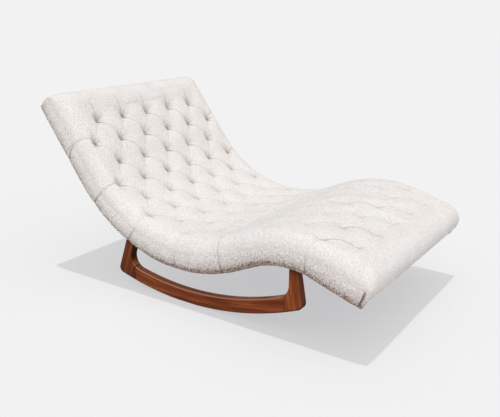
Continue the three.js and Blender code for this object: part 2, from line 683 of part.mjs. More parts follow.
function addDowels(name, x, sign, side) {
  const fromCentre = x - ROCKER_CENTRE_X;
  const joint = new THREE.Group();
  joint.position.set(x, sign * rockerMiddle, (soleHeight(fromCentre) + runnerTopHeight(fromCentre)) / 2);
  joint.rotation.y = -Math.asin(fromCentre / ROCKER_RADIUS);
  chaise.add(joint);
  return [['upper', 1], ['lower', -1]].map(([place, offset]) => {
    const shape = (grow) => new THREE.CylinderGeometry(
      DOWEL_DIAMETER / 2 + grow, DOWEL_DIAMETER / 2 + grow, DOWEL_LENGTH + 2 * grow, ROUND_SIDES,
    ).rotateZ(Math.PI / 2);
    const dowel = addMesh(`${name}_dowel_${side}_${place}`, shape(0), dowelWood, joint);
    dowel.position.z = offset * DOWEL_SPACING / 2;
    joint.updateMatrixWorld(true);
    return solidOf(shape(CLEARANCE), dowel.matrixWorld);
  });
}

function addRockers(rear, front, topHeights) {
  const blank = rockerBlank(rockerOutline(topHeights));
  // The runner is what lies between two upright cuts, up to a slanted line in the open space over it
  const openHeight = (x, fillet) => runnerTopHeight(x - ROCKER_CENTRE_X) + fillet / 2;
  const between = (gap) => {
    const [rear, front] = [REAR_JOINT_X - gap, FRONT_JOINT_X + gap];
    const outline = [
      [rear, -OVERRUN],
      [front, -OVERRUN],
      [front, openHeight(FRONT_JOINT_X, FRONT_FILLET_RADIUS) + gap],
      [rear, openHeight(REAR_JOINT_X, REAR_FILLET_RADIUS) + gap],
    ];
    return solidOf(plate(outline, -halfBody, halfBody));
  };
  const half = (sign) => {
    const block = new THREE.BoxGeometry(waveLength, BODY_WIDTH, waveLength);
    return solidOf(block.translate(sign * waveLength / 2, 0, 0));
  };
  for (const [side, sign] of sides) {
    const inPlace = new THREE.Matrix4().makeTranslation(0, sign * rockerMiddle, 0);
    const holes = [
      ...addDowels('rear', REAR_JOINT_X, sign, side),
      ...addDowels('front', FRONT_JOINT_X, sign, side),
      ...rear.postCuts[side],
      ...front.postCuts[side],
    ];
    const frame = cutAll(solidOf(blank, inPlace), holes);
    const posts = frame.subtract(between(CLEARANCE / 2));
    addMesh(`runner_${side}`, geometryOf(frame.intersect(between(-CLEARANCE / 2))), walnut);
    addMesh(`rear_post_${side}`, geometryOf(posts.intersect(half(-1))), walnut);
    addMesh(`front_post_${side}`, geometryOf(posts.intersect(half(1))), walnut);
  }
}

function addSideRails() {
  const outline = layerOutline(insideHead, insideFoot, railTop, railBottom);
  for (const [side, sign] of sides) {
    const [low, high] = [sign * railInner, sign * railOuter].sort((a, b) => a - b);
    const rail = solidOf(plate(outline, low, high));
    addMesh(`side_rail_${side}`, geometryOf(cutAll(rail, railCuts[side])), plywood);
  }
}

// Black cloth under the rails, between the lower edges of the cover, let out round the posts
function addDustCover(topHeights) {
  const outline = layerOutline(insideHead, insideFoot, dustCoverTop, dustCoverTop + DUST_COVER_THICKNESS);
  const sheet = solidOf(plate(outline, -railOuter, railOuter));
  const notches = [];
  for (const [post, height] of [[rearPost, topHeights.rear], [frontPost, topHeights.front]]) {
    const away = post.inward * DUST_COVER_CLEARANCE;
    const notch = [
      [outerEdge(post, POST_MARK_HEIGHT) - away, POST_MARK_HEIGHT],
      [innerEdge(post, POST_MARK_HEIGHT) + away, POST_MARK_HEIGHT],
      [innerEdge(post, height) + away, height],
      [outerEdge(post, height) - away, height],
    ];
    const halfNotch = ROCKER_THICKNESS / 2 + DUST_COVER_CLEARANCE;
    for (const [, sign] of sides) {
      notches.push(solidOf(plate(notch, sign * rockerMiddle - halfNotch, sign * rockerMiddle + halfNotch)));
    }
  }
  addMesh('dust_cover', geometryOf(cutAll(sheet, notches)), cambric);
}

addCover();
addFoam();
addStraps();
addCrossRails();
const rearBoard = addLegBoard('rear_leg_board', rearPost);
const frontBoard = addLegBoard('front_leg_board', frontPost);
addSideRails();
const topHeights = {
  rear: rearBoard.frame.position.z + LEG_BOARD_WIDTH / 2,
  front: frontBoard.frame.position.z + LEG_BOARD_WIDTH / 2,
};
addDustCover(topHeights);
addRockers(rearBoard, frontBoard, topHeights);

const footprint = new THREE.Box3().setFromObject(chaise, true);
chaise.position.x = -(footprint.min.x + footprint.max.x) / 2;
chaise.updateMatrixWorld(true);

export default chaise;
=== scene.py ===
# Looks of the rocking chaise lounge: tufted boucle body, covered buttons and walnut rockers.
# Metres. +X runs from the head end to the foot end, +Y across, +Z up, and the floor is at zero.
import json
import math

import bmesh
import bpy
import numpy as np
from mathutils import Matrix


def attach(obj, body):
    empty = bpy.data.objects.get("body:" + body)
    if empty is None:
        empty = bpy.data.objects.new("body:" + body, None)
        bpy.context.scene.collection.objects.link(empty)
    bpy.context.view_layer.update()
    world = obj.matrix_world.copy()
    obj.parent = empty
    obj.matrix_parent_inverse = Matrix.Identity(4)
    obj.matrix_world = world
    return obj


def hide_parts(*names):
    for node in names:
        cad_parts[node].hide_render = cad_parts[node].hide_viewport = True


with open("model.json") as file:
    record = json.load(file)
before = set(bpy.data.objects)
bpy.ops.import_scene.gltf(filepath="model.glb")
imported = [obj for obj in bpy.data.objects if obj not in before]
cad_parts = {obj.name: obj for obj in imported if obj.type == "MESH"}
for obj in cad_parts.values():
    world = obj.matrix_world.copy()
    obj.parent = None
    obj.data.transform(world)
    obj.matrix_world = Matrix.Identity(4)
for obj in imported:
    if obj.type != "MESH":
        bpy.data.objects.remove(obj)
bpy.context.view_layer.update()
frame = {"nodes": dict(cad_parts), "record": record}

MM = 0.001
DEGREE = math.pi / 180

# The wave: the line of the buttons seen from the side, from the head end to the foot end
BACK_LENGTH = 374 * MM
BACK_ANGLE = 53.6 * DEGREE
SEAT_RADIUS = 548 * MM
RISE_ANGLE = 23.9 * DEGREE
RISE_LENGTH = 82 * MM
KNEE_RADIUS = 439 * MM
LEG_ANGLE = 19.1 * DEGREE
LEG_LENGTH = 199 * MM
SEAT_LOW_HEIGHT = 266 * MM

# The body around that line
HALF_BODY = 456.5 * MM
BODY_DEPTHS = (111 * MM, 111 * MM, 116 * MM, 116 * MM, 113 * MM)
BODY_DEPTH_ROWS = (-2, 5, 6, 10, 13)
# Painted shade, row by row: how deep the yarn's gaps are shaded low on the sides, how dark the hem gets, and
# how dark the pleats get at the lower edge
LOW_SHARES = (0.7, 0.75, 0.9, 1.0, 1.0)
HEM_DARKS = (0.1, 0.12, 0.4, 0.4, 0.22)
PLEAT_HEM_DARK = 0.85
HEM_SHARPNESS = 12
HEM_LOW_SHARE = 0.45
SIDE_DRAW_IN = 1 * MM
HEAD_DRAW_IN = 6 * MM
FOOT_DRAW_IN = 17 * MM
FOOT_PROUD = 8 * MM
HEAD_BOW = 4 * MM
FOOT_BOW = 3 * MM
SIDE_ROLL_RADIUS = 56 * MM
END_ROLL_RADIUS = 56 * MM
CORNER_ROUND_SHARE = 0.12
WALL_BULGE = 4 * MM
BOTTOM_ROUND = 17 * MM
HEM_ROUND = 8 * MM
# How far the painted shade in the yarn's gaps has grown where the roll ends
ROLL_LOW_SHARE = 0.25
COVER_THICKNESS = 3 * MM
ROLL_STEPS = 18
WALL_STEPS = 22
BOTTOM_STEPS = 8
HEM_STEPS = 5

# Tufting: buttons where row and half column are both even or both odd
PITCH_ALONG = 101.6 * MM
HALF_PITCH_ACROSS = 76.2 * MM
HEAD_MARGIN = 157 * MM
LAST_ROW = 14
LAST_COLUMN = 5
COLUMNS_BEYOND = HALF_BODY / HALF_PITCH_ACROSS - LAST_COLUMN
DIAGONAL_PITCH = math.hypot(PITCH_ALONG, HALF_PITCH_ACROSS)
CELL_WIDTH = 2 * PITCH_ALONG * HALF_PITCH_ACROSS / DIAGONAL_PITCH
STEPS_PER_PITCH = 26
LINE_CLEARANCE_SHARE = 0.4
SIDE_BLEND_COLUMNS = 0.55
END_BLEND_ROWS = 0.7
LEG_FROM_ROW = 11
LEG_BLEND_ROWS = 1.5
LEG_SLIDE_SHARE = 0.13
BACK_TO_ROW = 5
BACK_BLEND_ROWS = 2
BACK_SLIDE_SHARE = 0.07
TIE = 1e-6
NEARLY_ZERO = 1e-9
TUFTED_ROWS = (-2, 2.5, 4, 5.5, 7.5, 9.5, 12, 14, 16)
TUFT_SHARES = (1.0, 1.0, 0.9, 0.65, 0.35, 0.2, 0.14, 0.12, 0.12)
PIT_SHARES = (1.0, 0.95, 0.8, 0.58, 0.34, 0.2, 0.3, 0.6, 0.6)
# How strong the painted shade of the pits and buttons is, row by row
SHADE_SHARES = (1.0, 0.95, 0.8, 0.5, 0.3, 0.14, 0.16, 0.6, 0.6)

# Puffs between the buttons, and the folds around them
PUFF_HEIGHT = 27 * MM
PUFF_FULLNESS = 0.5
EDGE_CROWNS = (26 * MM, 27 * MM, 25 * MM, 22 * MM, 20 * MM, 16 * MM, 15 * MM, 22 * MM, 23 * MM)
FOLD_DEPTH_SHARE = 0.24
FAINT_FOLD_SHARE = 0.6
FOLD_GROOVE = 2 * MM
FAINT_GROOVE = 0.4 * MM
GROOVE_WIDTH = 2.3 * MM
FOLD_BEND = 0.13
FOLD_SKEW = 1.4
FOLD_EVEN_SHARE = 0.72
FOLD_VARY_TURNS = (9.1, 4.7)
# Painted shade along the folds, and, by LEG_FOLD_DARKS, along the leg's folds
FOLD_DARK = 0.26
FOLD_LEAST_SHARE = 0.35
FAINT_FOLD_DARK = 0.03
LEG_FOLD_DEPTH = 4 * MM
LEG_FOLD_WIDTH = 36 * MM
LEG_FOLDS = (4, 5, 6, 7, 8, 9)
LEG_FOLD_DARKS = (0.03, 0.06, 0.22, 0.08, 0.28, 0.55)

# Pits around the buttons, and the painted shade in them
PIT_RADIUS = 22.5 * MM
PIT_SHARPNESS = 1.5
BUTTON_HOLE = 3.5 * MM
BUTTON_HOLE_RADIUS = 12 * MM
DASH_WIDTH = 3.2 * MM
DASH_LENGTH = 22 * MM
DASH_BACK_LENGTH = 7 * MM
DASH_DARK = 0.8
CORE_SHIFT = (0 * MM, 2.5 * MM)
CORE_RADIUS = 9.5 * MM
CORE_DARK = 0.95
CORE_LOWEST_SHARE = 0.55
FAN_DARK = 0.12
FAN_RIPPLE_SHARE = 1.4
EDGE_SHADE_SHARE = 0.5

# Creases fanning out of the pits, uneven by a phase of each button's own
PUCKERS = 8
PUCKER_HEIGHT = 1.3 * MM
PUCKER_PLACE = 19 * MM
PUCKER_LENGTH = 12 * MM
PUCKER_SWING = 0.8
PUCKER_EVEN_SHARE = 0.65
PUCKER_UNEVEN_TURNS = (3, 2)
PUCKER_TOWARDS = (-0.8, 0.6)
PUCKER_AWAY_SHARE = 0.35
PHASE_TURNS = (12.9898, 78.233)
PHASE_SPREAD = 43.758

# Pleats run from the outer buttons, on the odd rows, over the side's roll to the lower edge
PLEAT_ROLL_SHARE = 0.4
# Painted shade in each pleat over the roll
PLEAT_ROLL_DARKS = (0.32, 0.28, 0.12, 0.08, 0.14, 0.04, 0.1)
ROLL_SHIFT_SHARES = (-0.28, 0, 0, 0, 0, -0.1, 0)
HEM_SHIFT_SHARES = (0, 0, -0.1, 0, -0.08, -0.15, 0.1)
PLEAT_STRENGTH_SHARES = (1, 1, 0.9, 0.75, 1, 0.3, 0.9)
PLEAT_GROOVE = 2.4 * MM
PLEAT_WIDTH = 3.2 * MM
PLEAT_VALLEY = 1.8 * MM
PLEAT_VALLEY_WIDTH = 17 * MM
PLEAT_START_COLUMNS = 0.2
ON_SIDE_SHARPNESS = 6

# Creases over the ends, and seams down the corners, with painted shade in both
HEAD_GROOVE = 1.6 * MM
FOOT_GROOVE = 0.3 * MM
HEAD_CREASE_DARK = 0.32
HEAD_CREASE_ROWS = 0.3
HEAD_CREASE_FADE_ROWS = 0.9
SEAM_GROOVE = 5 * MM
SEAM_WIDTH = 5.5 * MM
SEAM_REACH = 85 * MM
SEAM_ANGLE = 60 * DEGREE
SEAM_START_SHARE = 0.25
HEAD_SEAM_SHARE = 0.15

# Covered buttons: their profile runs from the middle of the dome, over its edge and in underneath
BUTTON_RADIUS = 10.5 * MM
BUTTON_RISE = 4.5 * MM
BUTTON_SEAT = 4.5 * MM
# Painted shade on the buttons, darkest on the side towards the pit's core
BUTTON_SHADE_TOWARDS = (0.8, -0.6)
BUTTON_SHADE_SHARE = 0.5
BUTTON_SHADE_START_SHARE = 1.2
BUTTON_LEAST_SHADE = 0.1
BUTTON_SIDES = 20
BUTTON_WIDTH_SHARES = (0, 0.25, 0.5, 0.72, 0.88, 0.97, 1, 0.97, 0.85)
BUTTON_RISE_SHARES = (1, 0.97, 0.86, 0.68, 0.45, 0.2, -0.05, -0.3, -0.45)

# Loops of yarn standing unevenly
NUB_HEIGHT = 0.65 * MM
NUB_SEED = 11

# The cloth run on the cover
CLOTH_EVERY = 4
CLOTH_HELD_RADIUS = 22 * MM
CLOTH_HELD_SHARE = 0.35
CLOTH_FRAMES = 16
CLOTH_CAP = 6 * MM
CLOTH_SETTINGS = {
    "vertex_group_mass": "pins", "quality": 6, "mass": 0.3, "tension_stiffness": 12, "shear_stiffness": 4,
    "compression_stiffness": 12, "bending_stiffness": 0.4, "use_pressure": True, "uniform_pressure_force": 4,
}

# The black cloth under the body
DUST_COVER_DEPTH = 108.4 * MM
DUST_COVER_THICKNESS = 1 * MM
DUST_COVER_EDGE = 20 * MM
DUST_COVER_STEP = 12 * MM
DUST_COVER_SAG = 1.6 * MM
STAPLE_PITCH = 38 * MM
STAPLE_PUCKER = 0.5 * MM
POST_CLEARANCE = 1 * MM

# Rockers
ROCKER_MIDDLE_Y = 400.9 * MM
ROCKER_THICKNESS = 38 * MM
ROCKER_RADIUS = 1285 * MM
ROCKER_CENTRE_X = 4 * MM
ROCKER_REST_LENGTH = 90 * MM
HALF_REST = ROCKER_REST_LENGTH / 2
SOLE_CENTRE_HEIGHT = math.sqrt(ROCKER_RADIUS ** 2 - HALF_REST ** 2)
RUNNER_DEPTH = 55 * MM
RUNNER_TOP_RADIUS = 1180 * MM
WOOD_ROUND = 8 * MM
POST_MARK_HEIGHT = 110 * MM
JOINT_GAP = 0.3 * MM
RUNNER_GRAIN_BEND_SHARE = 0.8
RUNNER_GRAIN_SHIFT = 370 * MM
POST_GRAIN_SHIFT = 1300 * MM
REAR = {
    "x": -349 * MM, "lean": 19.5 * DEGREE, "inner_lean": 19.5 * DEGREE, "width": 48 * MM, "inward": 1,
    "toe": 20 * MM, "fillet": 50 * MM, "joint": -272 * MM, "top": 236 * MM, "tones": (0.5, 0.62),
}
FRONT = {
    "x": 535 * MM, "lean": -9.6 * DEGREE, "inner_lean": 0.0, "width": 60 * MM, "inward": -1,
    "toe": 25 * MM, "fillet": 60 * MM, "joint": 460 * MM, "top": 279 * MM, "tones": (1.0, 1.0),
}
RUNNER_TONES = (0.78, 1.0)

# Points round the wood's corners and along its edges, and along the wave to find where a post meets it
WOOD_CORNER_STEPS = 7
RUNNER_STATIONS = 140
POST_STATIONS = 70
TOE_POINTS = 40
SOLE_POINTS = 30
WAVE_POINTS = 2000
WELD_DISTANCE = 0.01 * MM

# Painted shade on the wood, by the way its faces look and close under the body, and a painted highlight along
# its upper roundings
UP_SHARPNESS = 2
EDGE_SHARPNESS = 3
GLEAM_FACING = 0.8
GLEAM_WIDTH = 0.27
GLEAM_TOP_SHARE = 0.25
NARROW_FACE_SHADE_SHARE = 0.82
UPWARD_SHARE = 0.9
UNDER_SHADE_SHARE = 0.7
BODY_SHADOW_SHARE = 0.7
SHADE_HIDDEN = 8 * MM
SHADE_DEPTH = 45 * MM

# The low point of the seat, from where the runners stand on the floor
floor_mount = next(m for m in frame["record"]["mounts"] if m["name"] == "floor_contact_right")
SEAT_LOW_X = floor_mount["pos_m"][0] - ROCKER_CENTRE_X

# Camera of the photograph
CAMERA_FROM_SEAT_LOW = (1554.66 * MM, -2239.98 * MM, 1138.52 * MM)
CAMERA_PITCH = 17.351 * DEGREE
CAMERA_AZIMUTH = 34.311 * DEGREE
FOCAL_PIXELS = 651.08
PICTURE_WIDTH_PIXELS = 500
SENSOR_WIDTH_MM = 36


def add_camera():
    data = bpy.data.cameras.new("camera")
    data.sensor_width = SENSOR_WIDTH_MM
    data.lens = FOCAL_PIXELS / PICTURE_WIDTH_PIXELS * SENSOR_WIDTH_MM
    camera = bpy.data.objects.new("camera", data)
    x, y, z = CAMERA_FROM_SEAT_LOW
    camera.location = (SEAT_LOW_X + x, y, z)
    camera.rotation_euler = (math.pi / 2 - CAMERA_PITCH, 0, CAMERA_AZIMUTH)
    bpy.context.scene.collection.objects.link(camera)
    bpy.context.scene.camera = camera


class Signal:
    """A shader socket that can be added, subtracted and multiplied."""

    def __init__(self, shader, socket):
        self.shader = shader
        self.socket = socket

    def maths(self, operation, *values):
        return self.shader.node("ShaderNodeMath", {"operation": operation}, values).out()

    def __add__(self, other):
        return self.maths("ADD", self, other)

    def __sub__(self, other):
        return self.maths("SUBTRACT", self, other)

    def __mul__(self, other):
        return self.maths("MULTIPLY", self, other)

    def __rsub__(self, other):
        return self.maths("SUBTRACT", other, self)

    __radd__ = __add__
    __rmul__ = __mul__

    def power(self, exponent):
        return self.maths("POWER", self, exponent)

    def limit(self):
        """Kept between 0 and 1."""
        return self.shader.node("ShaderNodeClamp", {}, (self,)).out()

    def band(self, low, high):
        """0 below low, 1 above high, and smooth between."""
        settings = {"interpolation_type": "SMOOTHSTEP"}
        return self.shader.node("ShaderNodeMapRange", settings, (self, low, high)).out()


class Placed:
    """A node in a shader, with its outputs by name."""

    def __init__(self, shader, node):
        self.shader = shader
        self.node = node

    def out(self, name=0):
        return Signal(self.shader, self.node.outputs[name])


class Nodes:
    """A tree of shader nodes, to which each call adds its own."""

    def __init__(self, tree):
        self.tree = tree

    def node(self, kind, settings, values=()):
        """A node: its settings are set first, then its sockets, by order or by name."""
        node = self.tree.nodes.new(kind)
        for key, value in settings.items():
            setattr(node, key, value)
        items = values.items() if isinstance(values, dict) else enumerate(values)
        for key, value in items:
            self.set(node.inputs[key], value)
        return Placed(self, node)

    def set(self, socket, value):
        if isinstance(value, Signal):
            self.tree.links.new(value.socket, socket)
        else:
            socket.default_value = value

    def place(self):
        return self.node("ShaderNodeTexCoord", {}).out("Object")

    def attribute(self, name, output="Fac"):
        return self.node("ShaderNodeAttribute", {"attribute_name": name}).out(output)

    def stretched(self, vector, scale):
        return self.node("ShaderNodeMapping", {}, {"Vector": vector, "Scale": scale}).out()

    def noise(self, vector, scale=1.0, detail=2.0, roughness=0.5, output="Fac"):
        values = {"Vector": vector, "Scale": scale, "Detail": detail, "Roughness": roughness}
        return self.node("ShaderNodeTexNoise", {}, values).out(output)

    def voronoi(self, vector, scale, output="Distance"):
        return self.node("ShaderNodeTexVoronoi", {}, {"Vector": vector, "Scale": scale}).out(output)

    def vector_maths(self, operation, values):
        return self.node("ShaderNodeVectorMath", {"operation": operation}, values).out()

    def shifted(self, vector, other, amount):
        """A vector moved by a colour signal, centred on grey, times an amount."""
        centred = self.vector_maths("SUBTRACT", (other, (0.5, 0.5, 0.5)))
        scaled = self.vector_maths("SCALE", {"Vector": centred, "Scale": amount})
        return self.vector_maths("ADD", (vector, scaled))

    def mix(self, share, first, second, blend="MIX"):
        node = self.node("ShaderNodeMix", {"data_type": "RGBA", "blend_type": blend})
        for socket, value in ((0, share), (6, first), (7, second)):
            self.set(node.node.inputs[socket], value)
        return node.out(2)

    def bump(self, height, distance, strength=1.0):
        values = {"Strength": strength, "Distance": distance, "Height": height}
        return self.node("ShaderNodeBump", {}, values).out()


class Shader(Nodes):
    """A material with a Principled BSDF, whose constants sit on its own sockets."""

    def __init__(self, name, **constants):
        self.material = bpy.data.materials.new(name)
        self.material.use_nodes = True
        super().__init__(self.material.node_tree)
        self.surface = self.tree.nodes["Principled BSDF"]
        for socket, value in constants.items():
            self.surface.inputs[socket.replace("_", " ")].default_value = value

    def feed(self, socket, value):
        self.set(self.surface.inputs[socket], value)


def rgb(red, green, blue):
    """A colour given as it looks on a screen, 0 to 255, as the linear values a shader takes."""
    shares = np.array([red, green, blue]) / 255
    linear = np.where(shares <= 0.04045, shares / 12.92, ((shares + 0.055) / 1.055) ** 2.4)
    return (*linear.tolist(), 1.0)


# Tones of the backdrop and of its shadow, and the light on the object
BACKDROP_TONE = rgb(242, 242, 242)
SHADOW_TONE = rgb(150, 150, 155)
FLOOR_BOUNCE = rgb(240, 240, 240)
FLOOR_SIZE = 40
ROOM_STRENGTH = 0.395
LAMP_SHARE = 0.3
FILL_SHARE = 0.5
FILL_HEIGHT = 48 * DEGREE
FILL_AZIMUTH = 38 * DEGREE
FILL_ANGLE = 12 * DEGREE
LEVEL = ROOM_STRENGTH + LAMP_SHARE + FILL_SHARE * math.sin(FILL_HEIGHT)
FLOOR_LIT_TONE = (*((np.array(BACKDROP_TONE[:3]) - np.array(SHADOW_TONE[:3])) / LEVEL).tolist(), 1.0)
LAMP_ANGLE = 1 * DEGREE
LAMP_TILT = (0, 0, 0)
FILL_TILT = (math.pi / 2 - FILL_HEIGHT, 0, FILL_AZIMUTH)


# Boucle: how many nubs of each size a metre holds, how far the rows of loops wander, the yarn's tones, and
# the tones of its painted shade
NUBS_PER_METRE = 200
SMALL_NUBS_PER_METRE = 430
FUZZ_PER_METRE = 1500
PATCHES_PER_METRE = 12
WANDERS_PER_METRE = 170
WANDER = 5 * MM
NUB_RELIEF = 3.2 * MM
YARN_TONES = (rgb(247, 245, 243), rgb(242, 239, 236))
YARN_GAP_TONE = rgb(152, 118, 100)
YARN_SHADE_TONE = rgb(114, 86, 66)


def make_boucle():
    """Looped yarn: bright nubs with browner gaps between them, and finer fuzz over all. The gaps carry
    painted shade:
    they are fainter on top, where light falls into them, and deepest low on the sides. Painted shade in
    folds, pits, pleats, seams and along the hem makes the yarn darker and browner."""
    shader = Shader("boucle", Roughness=0.95, Specular_IOR_Level=0.1, Sheen_Weight=0.1, Sheen_Roughness=0.6)
    place = shader.place()
    loops = shader.shifted(place, shader.noise(place, WANDERS_PER_METRE, output="Color"), WANDER)
    nub = shader.voronoi(loops, NUBS_PER_METRE)
    small = shader.voronoi(loops, SMALL_NUBS_PER_METRE)
    fuzz = shader.noise(place, FUZZ_PER_METRE, 3, 0.6)
    patches = shader.noise(place, PATCHES_PER_METRE, 3)
    low = shader.attribute("low")
    # Painted shade in the gaps between the nubs, faint on top and deepest low on the sides
    depth_share = 0.25 + 0.6 * low.power(1.7)
    gap = ((nub.band(0.3, 0.75) * 0.75 + small.band(0.35, 0.8) * 0.4) * depth_share).limit()
    colour = shader.mix(gap, shader.mix(patches.band(0.3, 0.7), *YARN_TONES), YARN_GAP_TONE)
    # Painted shade from the fold attribute: in folds, pits, pleats, seams and along the hem
    shaded_colour = shader.mix(shader.attribute("fold").limit(), colour, YARN_SHADE_TONE, "MULTIPLY")
    relief = ((1.0 - nub) + (1.0 - small) * 0.35 + fuzz * 0.3) * (0.5 + 0.5 * low)
    shader.feed("Base Color", shaded_colour)
    shader.feed("Normal", shader.bump(relief, NUB_RELIEF))
    return shader.material


# Walnut: waves in a metre along and across the grain, and the tones from the darkest band to the lightest
GRAIN_BENDS = (5, 22, 22)
GRAIN_BANDS = (3.4, 50, 78)
GRAIN_FIBRES = (28, 900, 900)
GRAIN_PORES = (70, 1900, 1900)
GRAIN_PATCHES = (4, 14, 14)
GRAIN_BEND = 12 * MM
GRAIN_RELIEF = 0.25 * MM
WALNUT_STOPS = (
    (0.06, rgb(50, 16, 2)), (0.4, rgb(104, 46, 17)), (0.64, rgb(138, 67, 31)), (0.95, rgb(194, 112, 52)),
)
WALNUT_PORE_TONE = rgb(48, 22, 12)
# The tone that painted shade and the darker end tones take the wood towards, and the painted highlight's tone
WALNUT_DARK_TONE = rgb(16, 6, 2)
WALNUT_HIGHLIGHT_TONE = rgb(200, 140, 108)


def make_walnut():
    """Satin walnut: growth bands and fine pores drawn out along each member. It is darker where its tone is
    low, which carries painted shade, and it is paler, as a painted highlight, and glossier along its upper
    rounding."""
    shader = Shader("walnut", Specular_IOR_Level=0.04, Coat_Roughness=0.16)
    grain = shader.attribute("grain", "Vector")
    bend = shader.noise(shader.stretched(grain, GRAIN_BENDS), 1, 3, 0.55, "Color")
    bent = shader.shifted(grain, bend, GRAIN_BEND)
    bands = shader.noise(shader.stretched(bent, GRAIN_BANDS), 1, 4, 0.55)
    fibres = shader.noise(shader.stretched(bent, GRAIN_FIBRES), 1, 2, 0.6)
    pores = shader.noise(shader.stretched(grain, GRAIN_PORES)).band(0.6, 0.75) * 0.45
    patches = shader.noise(shader.stretched(grain, GRAIN_PATCHES))
    ramp_share = (bands * 1.1 + fibres * 0.3 + patches * 0.5 - 0.36).limit()
    ramp = shader.node("ShaderNodeValToRGB", {}, (ramp_share,))
    elements = ramp.node.color_ramp.elements
    elements[0].position, elements[0].color = WALNUT_STOPS[0]
    elements[1].position, elements[1].color = WALNUT_STOPS[-1]
    for position, colour in WALNUT_STOPS[1:-1]:
        elements.new(position).color = colour
    figured = shader.mix(pores, ramp.out(), WALNUT_PORE_TONE)
    tone = shader.attribute("tone")
    painted_highlight = shader.attribute("painted_highlight")
    # The tone darkens the wood with painted shade; the painted highlight pales it and adds coat
    toned = shader.mix(tone, WALNUT_DARK_TONE, figured)
    shader.feed("Base Color", shader.mix(painted_highlight * 0.8, toned, WALNUT_HIGHLIGHT_TONE))
    shader.feed("Coat Weight", tone * 0.14 + painted_highlight * 0.5)
    shader.feed("Roughness", 0.34 + fibres * 0.16)
    shader.feed("Normal", shader.bump(fibres * 0.5 - pores, GRAIN_RELIEF, 0.5))
    return shader.material


def make_cambric():
    """Black non-woven cloth: a close web of fine fibres."""
    shader = Shader("cambric", Roughness=0.9, Specular_IOR_Level=0.2)
    place = shader.place()
    web = shader.noise(place, 1400, 4, 0.7)
    patches = shader.noise(place, 60, 2)
    greyness = (web * 0.6 + patches * 0.4).limit()
    shader.feed("Base Color", shader.mix(greyness, rgb(22, 21, 20), rgb(62, 59, 56)))
    shader.feed("Normal", shader.bump(web, 0.4 * MM, 0.6))
    return shader.material


# Raw timber of the hidden pieces: its light and dark tones and its roughness, and its bands in a metre
TIMBERS = {
    "plywood": (rgb(222, 200, 164), rgb(190, 160, 118), 0.75),
    "rail_wood": (rgb(208, 176, 130), rgb(168, 132, 88), 0.7),
    "dowel_wood": (rgb(216, 188, 146), rgb(184, 150, 106), 0.65),
}
TIMBER_BANDS = (60, 3, 60)
TIMBER_FIBRES = (700, 25, 700)


def make_timber(name, light, dark, roughness):
    """Raw timber or plywood: soft bands along the piece's longest run, across the body."""
    shader = Shader(name, Roughness=roughness, Specular_IOR_Level=0.3)
    place = shader.place()
    bands = shader.noise(shader.stretched(place, TIMBER_BANDS), 1, 4, 0.6)
    fibres = shader.noise(shader.stretched(place, TIMBER_FIBRES), 1, 2, 0.6)
    shader.feed("Base Color", shader.mix((bands * 1.3 - 0.2 + fibres * 0.3).limit(), dark, light))
    shader.feed("Normal", shader.bump(fibres, 0.2 * MM, 0.4))
    return shader.material


def make_steel():
    """Zinc plate with a faint spangle."""
    shader = Shader("steel", Metallic=1.0)
    spangle = shader.voronoi(shader.place(), 900, "Color")
    tone = shader.noise(shader.place(), 500, 2)
    shader.feed("Base Color", shader.mix(tone, rgb(168, 170, 170), rgb(205, 206, 204)))
    shader.feed("Roughness", 0.3 + tone * 0.15)
    shader.feed("Normal", shader.bump(spangle, 0.05 * MM, 0.3))
    return shader.material


def make_webbing():
    """Jute webbing: warp and weft ribs crossing."""
    shader = Shader("webbing", Roughness=0.95, Specular_IOR_Level=0.1)
    place = shader.place()
    weft, warp = (
        shader.node(
            "ShaderNodeTexWave", {"wave_type": "BANDS", "bands_direction": direction, "wave_profile": "SIN"},
            {"Vector": place, "Scale": ribs_per_metre, "Distortion": 1.5},
        ).out("Fac")
        for direction, ribs_per_metre in (("Y", 120), ("X", 90))
    )
    weave = weft * warp
    shader.feed("Base Color", shader.mix(weave, rgb(112, 86, 54), rgb(178, 146, 100)))
    shader.feed("Normal", shader.bump(weave, 0.8 * MM, 0.7))
    return shader.material


def make_foam():
    """Open-cell foam: fine pores."""
    shader = Shader("foam", Roughness=0.95, Specular_IOR_Level=0.1)
    pores = shader.voronoi(shader.place(), 700)
    shader.feed("Base Color", shader.mix(pores.band(0.1, 0.6), rgb(196, 178, 122), rgb(238, 224, 176)))
    shader.feed("Normal", shader.bump(pores, 0.6 * MM, 0.6))
    return shader.material


# The runs of the wave: the length of each and its bend, which is one over its radius
WAVE_RUNS = (
    (BACK_LENGTH, 0),
    (SEAT_RADIUS * (BACK_ANGLE + RISE_ANGLE), 1 / SEAT_RADIUS),
    (RISE_LENGTH, 0),
    (KNEE_RADIUS * (RISE_ANGLE + LEG_ANGLE), -1 / KNEE_RADIUS),
    (LEG_LENGTH, 0),
)
WAVE_LENGTH = sum(length for length, _ in WAVE_RUNS)


def wave(along):
    """Place and heading on the button line. Each run adds its own bend to the heading, and the arc or the
    straight of that bend to the place; the first and last runs go on past the ends."""
    along = np.asarray(along, float)
    x, z = np.zeros_like(along), np.zeros_like(along)
    heading = np.full_like(along, -BACK_ANGLE)
    start = 0.0
    for index, (length, bend) in enumerate(WAVE_RUNS):
        low = -np.inf if index == 0 else 0.0
        high = np.inf if index == len(WAVE_RUNS) - 1 else length
        step = np.clip(along - start, low, high)
        turned = heading + bend * step
        if bend:
            x = x + (np.sin(turned) - np.sin(heading)) / bend
            z = z + (np.cos(heading) - np.cos(turned)) / bend
        else:
            x = x + np.cos(heading) * step
            z = z + np.sin(heading) * step
        heading = turned
        start += length
    return x, z, heading


seat_low_x, seat_low_z, _ = wave(BACK_LENGTH + SEAT_RADIUS * BACK_ANGLE)


